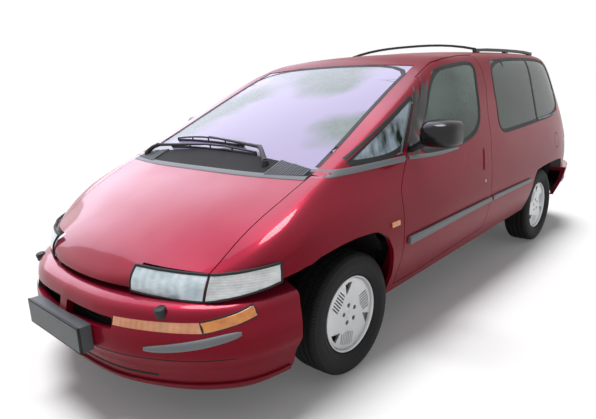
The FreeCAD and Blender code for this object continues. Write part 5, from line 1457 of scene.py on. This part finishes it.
@dataclass
class TailFittings:
    """Window seal, blank plate, handle, wiper, lamps and bumper strip of the tail."""

    finishes: Finishes
    skin: Skin
    lamp_rear: float = -2.335
    lamp_step: float = 0.003
    lamp_steps: int = 70
    lamp_margin: float = 0.010

    def build(self) -> None:
        """Builds the tail's fittings."""
        f = self.finishes
        lay = self.skin.front(-1.0)
        rows = (("tail_window_seal", ((0.562, 1.100), (0.520, 1.538), (-0.520, 1.538),
                                      (-0.562, 1.100)), 0.024, 0.003, f.seal, 0.045),
                ("tail_plate", ((-0.255, 0.785), (0.255, 0.785)), 0.112, 0.004, f.plate, 0.0),
                ("tail_plate_frame", ((0.264, 0.724), (0.264, 0.846), (-0.264, 0.846),
                                      (-0.264, 0.724)), 0.014, 0.008, f.black, 0.016),
                # Painted shadow: a dark band under the tail handle.
                ("tail_handle_well", ((-0.20, 0.882), (0.20, 0.882)), 0.030, 0.001, f.slot, 0.0),
                ("tail_handle", ((-0.17, 0.908), (0.17, 0.908)), 0.034, 0.020, f.black, 0.0))
        for name, points, width, proud, finish, corner in rows:
            outline = rounded(corners(points, corner), True) if corner else points
            Form(name).strip(spaced(outline, 0.014, corner > 0), lay, BACK, bead(width, proud),
                             corner > 0).done("tailgate", finish)
        self.wiper(lay)
        for side in Side:
            self.lamp(side)
        # The groove band is painted shade: a dark line where the rear bumper's groove falls into
        # shade.
        bands(self.skin, (("tail_rub_strip", 1.32, 0.470, 0.040, 0.010, f.grey, 0.3),
                          ("tail_bumper_groove", 1.20, 0.392, 0.007, 0.0006, f.slot, 0.2)),
              math.pi, -1.62)

    def wiper(self, lay: Lay) -> None:
        """Builds the rear wiper."""
        base = lay(0.0, 1.070)
        form = Form("tail_wiper_arm")
        form.rod(base - BACK * 0.01, base + BACK * 0.028, 0.018, 0.015, 24, 0.003)
        hub = base + BACK * 0.022
        hold = lay(-0.24, 1.150) + BACK * 0.026
        form.tube([hub, hub.lerp(hold, 0.5) + BACK * 0.008, hold], [0.010, 0.008, 0.005], 10)
        parts = [i / BLADE_STEPS for i in range(BLADE_STEPS + 1)]
        row = [lay(-0.43 + 0.36 * t, 1.160 - 0.016 * t) for t in parts]
        form.tube([p + BACK * (0.016 + 0.008 * math.sin(math.pi * t))
                   for p, t in zip(row, parts)], 0.0045, 8)
        form.done("tailgate", self.finishes.black, 35.0)
        blade = Form("tail_wiper_blade")
        blade.tube([p + BACK * 0.007 for p in row], 0.0052, 8)
        blade.done("tailgate", self.finishes.seal, 35.0)

    def lamp(self, side: Side) -> None:
        """Builds the frame, the bars and the amber and clear parts of one tail lamp."""
        f = self.finishes
        skin = Skin("tail_lamps")
        lay = skin.side(side)
        out = Vector((-0.35, side.value * 0.94, 0))

        def span(z: float) -> Pair:
            """The rear and front limit of the lamp at one height."""
            places = (self.lamp_rear + self.lamp_step * k for k in range(self.lamp_steps))
            hits = [x for x in places
                    if skin.cast(Vector((x, skin.AHEAD * side.value, z)), -side.out)]
            if len(hits) > 8:
                return hits[0] + self.lamp_margin, hits[-1] - self.lamp_margin
            return -2.29, -2.17

        rows = (("indicator", (1.040, 1.024, 1.008), 0.017, 0.003, f.amber),
                ("reversing", (0.888, 0.872, 0.856), 0.017, 0.003, f.corner),
                ("upper_bar", (0.994,), 0.007, 0.005, f.seal),
                ("lower_bar", (0.904,), 0.007, 0.005, f.seal),
                ("middle_bar", (0.949,), 0.004, 0.003, f.seal))
        for name, heights, width, proud, finish in rows:
            form = Form(f"tail_lamp_{name}_{side.word}")
            for z in heights:
                rear, front = span(z)
                form.strip(spaced(((rear, z), (front, z)), 0.010), lay, out,
                           bead(width, proud, 0.003, 0.12))
            form.done("body", finish)
        levels = [0.842 + 0.0218 * k for k in range(11)]
        outline = [(span(z)[0] - 0.004, z) for z in levels]
        outline += [(span(z)[1] + 0.004, z) for z in reversed(levels)]
        Form(f"tail_lamp_frame_{side.word}").strip(
            spaced(outline, 0.012, True), lay, out, bead(0.009, 0.004), True).done("body", f.seal)


@dataclass
class Cabin:
    """Vents, dials and seams of the dashboard, and the inside of the front doors."""

    finishes: Finishes

    def build(self) -> None:
        """Builds the cabin's fittings."""
        f = self.finishes
        skin = Skin("dashboard")

        def lay(y: float, z: float) -> Vector:
            """The point on the side of the dashboard that faces the seats."""
            return skin.cast(Vector((0.2, y, z)), -BACK) or skin.nearest(Vector((0.8, y, z)))

        rows = [("instrument_glass", 0.26, 0.54, 0.955, 0.085, 0.004, f.gloss_black),
                ("radio_panel", -0.09, 0.09, 0.800, 0.055, 0.004, f.gloss_black),
                ("heater_panel", -0.09, 0.09, 0.870, 0.045, 0.004, f.black),
                ("glovebox_upper_seam", -0.62, -0.22, 0.830, 0.004, 0.0008, f.slot),
                ("glovebox_lower_seam", -0.62, -0.22, 0.715, 0.004, 0.0008, f.slot),
                ("glovebox_catch", -0.46, -0.38, 0.808, 0.020, 0.008, f.black)]
        for name, low, high, z, width, proud, finish in rows:
            Form(name).strip(spaced(((low, z), (high, z)), 0.015), lay, BACK,
                             bead(width, proud, 0.003, 0.1)).done("body", finish)
        vents = Form("dashboard_vents")
        for middle in (0.655, 0.155, -0.155, -0.655):
            for k in range(5):
                z = 0.915 + 0.012 * k
                vents.strip(spaced(((middle - 0.045, z), (middle + 0.045, z)), 0.015), lay, BACK,
                            bead(0.0045, 0.006, 0.003, 0.2))
        vents.done("body", f.black)
        for side in Side:
            self.door_card(side)
            trim = Form(f"boot_side_trim_{side.word}")
            low, high = sorted((side.value * 0.712, side.value * 0.722))
            trim.box((-2.20, low, 0.37), (-1.78, high, 1.085), 0.004, 2)
            trim.done("body", f.dash)

    def door_card(self, side: Side) -> None:
        """Builds the armrest, pocket, seam and crank inside one front door."""
        f = self.finishes
        s = side.value
        skin = Skin(side.door)

        def lay(x: float, z: float) -> Vector:
            """The point on the door's inner face."""
            return (skin.cast(Vector((x, 0.2 * s, z)), side.out)
                    or skin.nearest(Vector((x, 0.8 * s, z))))

        inward = -side.out
        rows = (("armrest", 0.60, 0.05, 0.735, 0.060, 0.046, f.dash),
                ("door_pocket", 0.66, 0.08, 0.520, 0.105, 0.024, f.dash),
                ("door_card_seam", 0.68, 0.00, 0.880, 0.005, 0.0015, f.slot),
                ("door_cloth_insert", 0.64, 0.04, 0.815, 0.080, 0.006, f.cloth_side))
        for name, start, end, z, width, proud, finish in rows:
            Form(f"{name}_{side.word}").strip(
                spaced(((start, z), (end, z)), 0.03), lay, inward,
                bead(width, proud, 0.004, 0.2)).done(side.door, finish)
        crank = Form(f"window_crank_{side.word}")
        hub = lay(0.46, 0.640)
        knob = hub + Vector((-0.10, -0.022 * s, -0.03))
        crank.rod(hub - inward * 0.004, hub + inward * 0.022, 0.017, 0.014, 24, 0.002)
        crank.tube([hub + inward * 0.018, hub.lerp(knob, 0.5) + inward * 0.012, knob],
                   [0.008, 0.0065, 0.006], 10)
        crank.ball(knob + inward * 0.012, (0.012, 0.016, 0.012), 8)
        crank.done(side.door, f.black)


def nut_spots() -> list[Pair]:
    """The places of the five nuts round a wheel's hub, as (x, z)."""
    angles = (math.tau * (k + NUT_TURN) / NUTS for k in range(NUTS))
    return [(NUT_RING * math.cos(a), NUT_RING * math.sin(a)) for a in angles]


@dataclass
class RoadWheels:
    """Tyres with their grooves, and the rim, slotted face and nuts of each wheel."""

    finishes: Finishes
    radius: float = WHEEL_Z
    slot_pitch: float = 0.0150
    slot_half: float = 0.0036
    slot_reach: float = 0.1620
    round_edge: float = 0.0009

    def build(self) -> None:
        """Dresses all four wheels."""
        face = self.face()
        for end, x, y in (("front", AXLE_X, FRONT_TRACK_Y), ("rear", REAR_AXLE_X, REAR_TRACK_Y)):
            for side in Side:
                self.tyre(end, side, (x, side.value * y, WHEEL_Z))
                self.rim(end, side, (x, side.value * y, WHEEL_Z), face)

    def tyre(self, end: str, side: Side, centre: Triple) -> None:
        """Spins one tyre with four grooves in its tread."""
        r = self.radius
        outer: list[Pair] = [(0.1925, 0.0705), (0.204, 0.0745), (0.2085, 0.0835), (0.214, 0.0870),
                             (0.225, 0.0935), (0.236, 0.0985), (0.2365, 0.1000), (0.2385, 0.1002),
                             (0.240, 0.0990), (0.252, 0.1010), (0.262, 0.1020), (0.275, 0.1015),
                             (0.288, 0.0975), (0.297, 0.0925), (0.299, 0.0925), (0.301, 0.0905),
                             (r - 0.0115, 0.0860), (r - 0.006, 0.0800), (r - 0.0030, 0.0735)]
        tread: list[Pair] = []
        for groove in (0.056, 0.021):
            tread += [(r - 0.0012 - groove * 0.015, groove + 0.0050), (r - 0.0085, groove + 0.0034),
                      (r - 0.0085, groove - 0.0034), (r - 0.0010, groove - 0.0050)]
        tread.append((r - 0.0001, 0.0))
        profile = both_sides(outer + tread)
        inner = [(0.1960, -0.060), (0.286, -0.082), (0.302, -0.040), (0.302, 0.040),
                 (0.286, 0.082), (0.1960, 0.060)]
        place = f"{end}_{side.word}"
        form = Form(f"tyre_tread_{place}")
        form.lathe(profile + inner, centre, TURN_STEPS, side.value)
        finish = self.finishes.front_tyre if end == "front" else self.finishes.rear_tyre
        form.done(f"wheel_{place}", finish, 32.0, (f"tyre_{place}",), "tyre")

    def rim(self, end: str, side: Side, centre: Triple, face: bpy.types.Mesh) -> None:
        """Builds one wheel: its rim, its slotted face and its nuts."""
        s = side.value
        x, y, z = centre
        profile = [(0.1985, 0.0765), (0.1985, 0.0800), (0.1965, 0.0812), (0.1925, 0.0802),
                   (0.1895, 0.0760), (0.1872, 0.0690), (0.1860, 0.0600), (0.1830, 0.0450),
                   (0.1700, 0.0300), (0.1700, -0.0450), (0.1830, -0.0600), (0.1880, -0.0720),
                   (0.1925, -0.0790), (0.1985, -0.0800), (0.1985, -0.0765), (0.1920, -0.0700),
                   (0.1905, -0.0560), (0.1760, -0.0400), (0.1760, 0.0250), (0.1890, 0.0450),
                   (0.1912, 0.0560), (0.1918, 0.0700)]
        place = f"{end}_{side.word}"
        body = f"wheel_{place}"
        ring = Form(f"wheel_rim_{place}")
        ring.lathe(profile, centre, TURN_STEPS, s)
        ring.done(body, self.finishes.wheel, 30.0, (body,), "alloy")
        data = face.copy()
        turn = Matrix.Identity(4) if side is Side.LEFT else Matrix.Rotation(math.pi, 4, "Z")
        data.transform(Matrix.Translation(centre) @ turn)
        piece = shown(f"wheel_face_{place}", data)
        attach(piece, body)
        nuts = Form(f"wheel_nuts_{place}")
        for nut_x, nut_z in nut_spots():
            nuts.rod((x + s * nut_x, y + s * 0.034, z + nut_z),
                     (x + s * nut_x, y + s * 0.052, z + nut_z), 0.0092, 0.0082, 6, 0.0010)
        nuts.rod((x, y + s * 0.020, z), (x, y + s * 0.036, z), 0.066, None, 40, 0.002)
        nuts.done(body, self.finishes.rust, 30.0)

    def face(self) -> bpy.types.Mesh:
        """Shapes the wheel's face, which repeats three times: seven slots, a wedge, a spoke."""
        disc = Form("wheel_face_shape")
        disc.lathe([(0.0004, 0.0690), (0.0240, 0.0686), (0.0262, 0.0672), (0.0282, 0.0672),
                    (0.0300, 0.0686), (0.0640, 0.0690), (0.1100, 0.0712), (0.1500, 0.0728),
                    (0.1740, 0.0716), (0.1840, 0.0680), (0.1868, 0.0610), (0.1840, 0.0550),
                    (0.1500, 0.0590), (0.1000, 0.0560), (0.0640, 0.0520), (0.0004, 0.0520)],
                   (0.0, 0.0, 0.0), 120)
        holes = Form("wheel_face_holes")
        for third in range(3):
            middle = math.radians(45.0 + 120.0 * third)
            turn = Matrix.Rotation(-middle, 4, "Y")
            for k in range(-3, 4):
                across = k * self.slot_pitch
                far = math.sqrt(self.slot_reach ** 2 - across ** 2)
                near = 0.0850 + abs(across) * 0.25 + 0.08 * (across + 0.045)
                holes.box((near, 0.03, across - self.slot_half),
                          (far, 0.10, across + self.slot_half), turn=turn)
            wedge = ((0.1690, 33.0), (0.1720, 43.0), (0.1690, 53.0), (0.1180, 36.5),
                     (0.1120, 32.0))
            spots = ((radius, middle + math.radians(degrees)) for radius, degrees in wedge)
            holes.panel([Vector((r * math.cos(a), 0.03, r * math.sin(a))) for r, a in spots],
                        Vector((0.0, 0.07, 0.0)))
        for x, z in nut_spots():
            holes.rod((x, 0.03, z), (x, 0.10, z), 0.0122)
        pieces = []
        for form in (disc, holes):
            bmesh.ops.recalc_face_normals(form.mesh, faces=form.mesh.faces[:])
            pieces.append(shown(form.name, form.baked()))
        cut = pieces[0].modifiers.new("holes", "BOOLEAN")
        cut.operation = "DIFFERENCE"
        cut.solver = "EXACT"
        cut.object = pieces[1]
        soft = pieces[0].modifiers.new("soft_edges", "BEVEL")
        soft.width = self.round_edge
        soft.segments = 2
        soft.limit_method = "ANGLE"
        soft.angle_limit = math.radians(50.0)
        result = evaluated(pieces[0])
        for piece in pieces:
            bpy.data.objects.remove(piece)
        result.materials.clear()
        result.materials.append(self.finishes.wheel)
        result.shade_smooth()
        result.set_sharp_from_angle(angle=math.radians(28.0))
        return result


def squared(turn: float, power: float) -> Pair:
    """Cosine and sine of a turn, pushed out towards a square."""
    return tuple(math.copysign(abs(v) ** power, v) for v in (math.cos(turn), math.sin(turn)))


@dataclass
class Mirrors:
    """Round-shouldered black mirror housings with their glass."""

    finishes: Finishes
    low: Triple = (0.719, 0.918, 1.100)
    high: Triple = (0.867, 1.121, 1.248)
    sides: int = 28

    def build(self) -> None:
        """Builds both mirrors."""
        for side in Side:
            self.housing(side)

    def section(self, y: float, grow: float, slide: float) -> list[Vector]:
        """One upright section of the housing: flat at the rear, domed ahead."""
        mid_z = (self.low[2] + self.high[2]) / 2
        half_z = (self.high[2] - self.low[2]) / 2 * grow
        rear_x = self.low[0]
        deep = (self.high[0] - self.low[0]) * slide
        ring = []
        for t in turns(self.sides):
            ahead, up = squared(t, 0.62)
            x = rear_x + deep * (max(ahead, 0.0) * 0.94 + 0.06 * (ahead + 1))
            ring.append(Vector((x, y, mid_z + half_z * up)))
        return ring

    def housing(self, side: Side) -> None:
        """Builds one housing, its foot and its glass."""
        s = side.value
        rows = ((0.934, 0.60, 0.72), (0.938, 0.78, 0.84), (0.948, 0.92, 0.93), (0.975, 1.00, 1.00),
                (1.020, 1.00, 0.99), (1.060, 0.98, 0.95), (1.092, 0.92, 0.86), (1.108, 0.83, 0.74),
                (1.116, 0.70, 0.60), (1.120, 0.52, 0.44))
        form = Form(f"mirror_housing_{side.word}")
        form.loft([self.section(s * y, grow, slide) for y, grow, slide in rows])
        foot = [(0.812, 0.872, 1.090, 0.030, 0.020), (0.806, 0.905, 1.108, 0.030, 0.022),
                (0.800, 0.940, 1.130, 0.032, 0.028), (0.796, 0.970, 1.150, 0.030, 0.030)]
        form.loft([[Vector((x + deep * math.cos(t), s * y, z + tall * math.sin(t)))
                    for t in turns(16)] for x, y, z, deep, tall in foot])
        form.done(side.door, self.finishes.gloss_black,
                  stands_for=(f"mirror_{side.word}",), slot="black_plastic")
        glass = Form(f"mirror_glass_{side.word}")
        ring = self.section(0.0, 0.86, 1.0)
        outline = [Vector((self.low[0] + 0.0012, s * (1.027 + across * 0.076),
                           ring[0].z + up * 0.056))
                   for across, up in (squared(t, 0.45) for t in turns(self.sides))]
        glass.panel(outline, Vector((-0.0020, 0, 0)), 0.0006)
        glass.done(side.door, self.finishes.mirror, 30.0)


@dataclass
class SeatRow:
    """Where one row of seats stands and which CAD node it is."""

    name: str
    node: str
    front_x: float
    middles: Row
    width: float

    @property
    def bench(self) -> bool:
        """Whether it is one wide bench."""
        return self.width > 0.8

    @property
    def half(self) -> float:
        """Half the width of its padding before it is blown up."""
        return self.width / 2 - 0.018

    @property
    def restraints(self) -> Row:
        """The middles of its head restraints, from the seat's own middle."""
        return (self.half * 0.55, -self.half * 0.55) if self.bench else (0.0,)


@dataclass
class Seats:
    """Padded seats in three rows, with head restraints, piping and levers."""

    finishes: Finishes
    rows: tuple[SeatRow, ...] = (
        SeatRow("front_seat", "front_seats", 0.480, (0.398, -0.398), 0.50),
        SeatRow("second_seat", "second_seats", -0.380, (0.379, -0.379), 0.50),
        SeatRow("rear_bench", "third_seat", -1.190, (0.0,), 1.086))
    cushion_low: float = 0.466
    cushion_high: float = 0.578
    cushion_tilt: float = 3.0
    back_tilt: float = 16.5
    voxel: float = 0.010
    swell: float = 0.024
    frames: int = 20
    pressure: float = 4.0

    def build(self) -> None:
        """Builds every row from one padded cushion, back and restraint each."""
        shapes: dict[float, list[tuple[str, bpy.types.Mesh, float]]] = {}
        for row in self.rows:
            if row.width not in shapes:
                shapes[row.width] = self.shapes(row)
            for index, middle in enumerate(row.middles):
                for kind, mesh, fill in shapes[row.width]:
                    self.place(row, index, middle, kind, mesh, fill)
                self.hardware(row, index, middle)

    def place(self, row: SeatRow, index: int, middle: float, kind: str, mesh: bpy.types.Mesh,
              fill: float) -> None:
        """Puts a copy of a padded shape in its place."""
        data = mesh.copy()
        data.transform(Matrix.Translation((row.front_x, middle, 0.0)))
        piece = shown(f"{row.name}_{kind}_{index}", data)
        finer = piece.modifiers.new("finer", "SUBSURF")
        finer.levels = finer.render_levels = 1
        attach(piece, "body")
        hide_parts(row.node)
        LOG.info("pad %s", piece.name)
        if kind != "restraint":
            self.piping(row, index, middle, kind, data)

    def piping(self, row: SeatRow, index: int, middle: float, kind: str,
               pad: bpy.types.Mesh) -> None:
        """Lays the piping of the sewn seams on a cushion or a backrest."""
        tree = BVHTree.FromPolygons([v.co.copy() for v in pad.vertices],
                                    [tuple(p.vertices) for p in pad.polygons])
        lean = Matrix.Translation((row.front_x, middle, 0.0)) @ self.frame_of_back()
        behind = lean.to_3x3() @ BACK
        seam = row.half - 0.070
        offsets = [seam, -seam] + ([0.10, -0.10] if row.bench else [])
        form = Form(f"{row.name}_{kind}_piping_{index}")
        steps = 28
        for y in offsets:
            if kind == "cushion":
                rays = [(Vector((row.front_x - 0.43 + 0.385 * k / steps, middle + y, 0.90)), -UP)
                        for k in range(steps + 1)]
            else:
                rays = [(lean @ Vector((0.40, y, 0.05 + 0.43 * k / steps)), behind)
                        for k in range(steps + 1)]
            hits = (tree.ray_cast(*ray)[0] for ray in rays)
            points = [hit for hit in hits if hit is not None]
            if len(points) > 2:
                form.tube(points, 0.0036, 8)
        form.done("body", self.finishes.cloth_side, 60.0)

    def frame_of_back(self) -> Matrix:
        """The backrest's own frame: ahead, left and up along the back."""
        tilt = Matrix.Rotation(math.radians(-self.back_tilt), 4, "Y")
        return Matrix.Translation((-0.487, 0.0, 0.545)) @ tilt

    def shapes(self, row: SeatRow) -> list[tuple[str, bpy.types.Mesh, float]]:
        """The padded cushion, back and restraint of one row, each with its fill."""
        half = row.half
        lean = self.frame_of_back()
        middle = Vector((-0.23, 0, 0.52))
        pitch = Matrix.Translation(middle) @ Matrix.Rotation(
            math.radians(-self.cushion_tilt), 4, "Y") @ Matrix.Translation(-middle)
        cushion = Form("cushion_shape")
        cushion.box((-0.455, -half, self.cushion_low), (-0.020, half, self.cushion_high), 0.034, 4,
                    pitch)
        back = Form("back_shape")
        back.box((-0.046, -half, 0.0), (0.040, half, 0.505), 0.032, 4, lean)
        for sign in (1, -1):
            wing = sorted((sign * half, sign * (half - 0.062)))
            cushion.box((-0.440, wing[0], self.cushion_low + 0.004),
                        (-0.030, wing[1], self.cushion_high + 0.024), 0.026, 4, pitch)
            back.box((-0.044, wing[0], 0.030), (0.066, wing[1], 0.455), 0.026, 4, lean)
        if row.bench:
            back.box((-0.044, -0.012, 0.02), (0.047, 0.012, 0.49), 0.010, 2, lean)
        rest = Form("restraint_shape")
        for y in row.restraints:
            rest.box((-0.034, y - 0.118, 0.532), (0.036, y + 0.118, 0.632), 0.026, 4, lean)
        return [("cushion", self.padded(cushion), 0.75), ("back", self.padded(back), 0.7),
                ("restraint", self.padded(rest), 0.8)]

    def padded(self, form: Form) -> bpy.types.Mesh:
        """Remeshes a shape, blows it up a little as cloth, and returns the mesh.

        Args:
            form: the slightly smaller shape.

        Returns:
            The padded mesh.
        """
        pad = shown(form.name, form.baked())
        remesh = pad.modifiers.new("even", "REMESH")
        remesh.mode = "VOXEL"
        remesh.voxel_size = self.voxel
        self.settle(pad)
        before = [v.co.copy() for v in pad.data.vertices]
        cloth = pad.modifiers.new("air", "CLOTH")
        cloth.settings.quality = 5
        cloth.settings.use_pressure = True
        cloth.settings.uniform_pressure_force = self.pressure
        cloth.settings.effector_weights.gravity = 0.0
        cloth.collision_settings.use_collision = False
        cloth.point_cache.frame_start = 1
        cloth.point_cache.frame_end = self.frames
        scene = bpy.context.scene
        for number in range(1, self.frames + 1):
            scene.frame_set(number)
        self.settle(pad)
        scene.frame_set(1)
        for vert, start in zip(pad.data.vertices, before):
            move = vert.co - start
            if move.length > self.swell:
                vert.co = start + move * (self.swell / move.length)
        data = pad.data.copy()
        bpy.data.objects.remove(pad)
        data.materials.clear()
        data.materials.append(self.finishes.cloth)
        data.shade_smooth()
        return data

    @staticmethod
    def settle(piece: bpy.types.Object) -> None:
        """Applies a piece's modifiers to its mesh."""
        done = evaluated(piece)
        piece.modifiers.clear()
        piece.data = done

    def hardware(self, row: SeatRow, index: int, middle: float) -> None:
        """Builds the restraint's posts, the side covers and the tilt lever."""
        half = row.half
        lean = Matrix.Translation((row.front_x, middle, 0.0)) @ self.frame_of_back()
        form = Form(f"{row.name}_posts_{index}")
        for y in row.restraints:
            for shift in (0.055, -0.055):
                form.rod(lean @ Vector((0.0, y + shift, 0.47)),
                         lean @ Vector((0.0, y + shift, 0.56)), 0.006, None, 12)
        form.done("body", self.finishes.bright)
        cover = Form(f"{row.name}_side_cover_{index}")
        for sign in (1, -1):
            y = middle + sign * (half + 0.004)
            cover.box((row.front_x - 0.50, min(y, y - sign * 0.016), 0.456),
                      (row.front_x - 0.06, max(y, y - sign * 0.016), 0.502), 0.006)
        a = (row.front_x - 0.36, middle + half + 0.010, 0.478)
        b = (row.front_x - 0.25, middle + half + 0.010, 0.486)
        cover.rod(a, b, 0.008, 0.006, 12, 0.002)
        cover.done("body", self.finishes.black)


# ---- Camera and studio -----------------------------------------------------------------------


@dataclass
class Studio:
    """Floor, light and camera."""

    eye: Triple = (3.312, 2.306, 1.476)
    yaw: float = -136.84
    pitch: float = -14.18
    roll: float = -2.43
    focal_px: float = 515.6
    width_px: float = 596.0
    offset_px: Pair = (-4.9, 1.9)
    film_mm: float = 36.0
    floor_size: float = 60.0
    floor_drop: float = 0.0005
    sun_way: Triple = (0.05, -0.12, 0.99)
    sun_power: float = 2.45
    sun_spread: float = 26.0
    sky_power: float = 0.26
    floor_lift: float = 0.08
    card_colour: Triple = (0.80, 0.79, 1.0)
    cards: tuple[tuple[Triple, Triple, float, float], ...] = (
        ((-0.2, -4.4, 5.4), (1.2, 0.0, 1.0), 8.5, 440.0),)

    def build(self) -> None:
        """Builds the studio."""
        self.camera()
        self.floor()
        self.world()
        self.lights()
        bpy.context.scene.view_settings.view_transform = "Standard"

    def camera(self) -> None:
        """Places the camera at the photo's viewpoint."""
        yaw, pitch, roll = (math.radians(a) for a in (self.yaw, self.pitch, self.roll))
        ahead = Vector((math.cos(yaw) * math.cos(pitch), math.sin(yaw) * math.cos(pitch),
                        math.sin(pitch)))
        right = Vector((math.sin(yaw), -math.cos(yaw), 0.0))
        up = right.cross(ahead)
        turned_right = right * math.cos(roll) + up * math.sin(roll)
        turned_up = up * math.cos(roll) - right * math.sin(roll)
        data = bpy.data.cameras.new("camera")
        data.sensor_fit = "HORIZONTAL"
        data.sensor_width = self.film_mm
        data.lens = self.focal_px / self.width_px * self.film_mm
        data.shift_x = -self.offset_px[0] / self.width_px
        data.shift_y = self.offset_px[1] / self.width_px
        data.clip_end = 200.0
        camera = shown("camera", data)
        place = Matrix((turned_right, turned_up, -ahead)).transposed().to_4x4()
        camera.matrix_world = Matrix.Translation(self.eye) @ place
        bpy.context.scene.camera = camera

    @staticmethod
    def seen(graph: Graph) -> Ink:
        """1 for rays that look at the background: camera, glossy and transmission."""
        path = graph.tree.nodes.new("ShaderNodeLightPath")
        camera, glossy, through = (Ink(graph, path.outputs[f"Is {kind} Ray"])
                                   for kind in ("Camera", "Glossy", "Transmission"))
        return (camera + glossy + through).above(0.5, 0.1)

    def floor(self) -> None:
        """Builds a pale floor that keeps the shadow."""
        form = bmesh.new()
        bmesh.ops.create_grid(form, x_segments=1, y_segments=1, size=self.floor_size / 2)
        bmesh.ops.translate(form, verts=form.verts[:], vec=UP * -self.floor_drop)
        data = bpy.data.meshes.new("floor")
        form.to_mesh(data)
        form.free()
        graph = Graph("pale_floor")
        speck = graph.noise(3.0, 2.0)
        tone = graph.mix(speck * 0.04, (0.96, 0.96, 0.96), (0.93, 0.93, 0.93))
        matt = graph.add("ShaderNodeBsdfDiffuse", Color=tone)
        glow = graph.add("ShaderNodeEmission", Color=(1.0, 1.0, 1.0, 1.0),
                         Strength=self.seen(graph) * self.floor_lift)
        data.materials.append(graph.end(graph.add("ShaderNodeAddShader", None, matt, glow)))
        floor = shown("floor", data)

    def world(self) -> None:
        """Lights the scene evenly and shows white behind it."""
        graph = Graph("studio", world=True)
        plain = graph.add("ShaderNodeBackground", Color=(0.95, 0.97, 1.0, 1.0),
                          Strength=self.sky_power)
        white = graph.add("ShaderNodeBackground", Color=(1.0, 1.0, 1.0, 1.0), Strength=1.0)
        mix = graph.add("ShaderNodeMixShader", None, self.seen(graph), plain, white)
        bpy.context.scene.world = graph.end(mix)

    def lights(self) -> None:
        """Hangs the wide main light and the large soft lamp high on the right side."""
        sun = bpy.data.lights.new("main_light", "SUN")
        sun.energy = self.sun_power
        sun.angle = math.radians(self.sun_spread)
        main = shown("main_light", sun)
        main.matrix_world = (-Vector(self.sun_way)).to_track_quat("-Z", "Y").to_matrix().to_4x4()
        for index, (place, aim, size, power) in enumerate(self.cards):
            data = bpy.data.lights.new(f"softbox_{index}", "AREA")
            data.shape = "SQUARE"
            data.size = size
            data.energy = power
            data.color = self.card_colour
            lamp = shown(f"softbox_{index}", data)
            way = Vector(aim) - Vector(place)
            lamp.matrix_world = Matrix.Translation(place) @ way.to_track_quat(
                "-Z", "Y").to_matrix().to_4x4()
            lamp.visible_diffuse = False
            lamp.visible_camera = False


def main() -> None:
    """Builds the van's dress and its studio."""
    logging.basicConfig(level=logging.INFO, format="%(name)s: %(message)s")
    finishes = all_finishes()
    Studio().build()
    CarriedNodes(finishes).dress()
    skin = Skin(*(
        "side_left side_right roof_panel fender_left fender_right front_fascia rear_bumper "
        "cowl_panel hood door_left door_right sliding_door tailgate windscreen fixed_glass "
        "door_glass_left door_glass_right tailgate_glass headlamps corner_lamps indicator_lamps "
        "tail_lamps side_mouldings door_moulding_left door_moulding_right").split())
    WindowTrim(finishes, skin).build()
    ScreenSurround(finishes, skin).build()
    Wipers(finishes, skin).build()
    FrontLamps(finishes).build()
    NoseFittings(finishes, skin).build()
    DoorFittings(finishes, skin).build()
    Mirrors(finishes).build()
    TailFittings(finishes, skin).build()
    Cabin(finishes).build()
    Seats(finishes).build()
    RoadWheels(finishes).build()
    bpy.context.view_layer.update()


if __name__ == "__main__":
    main()
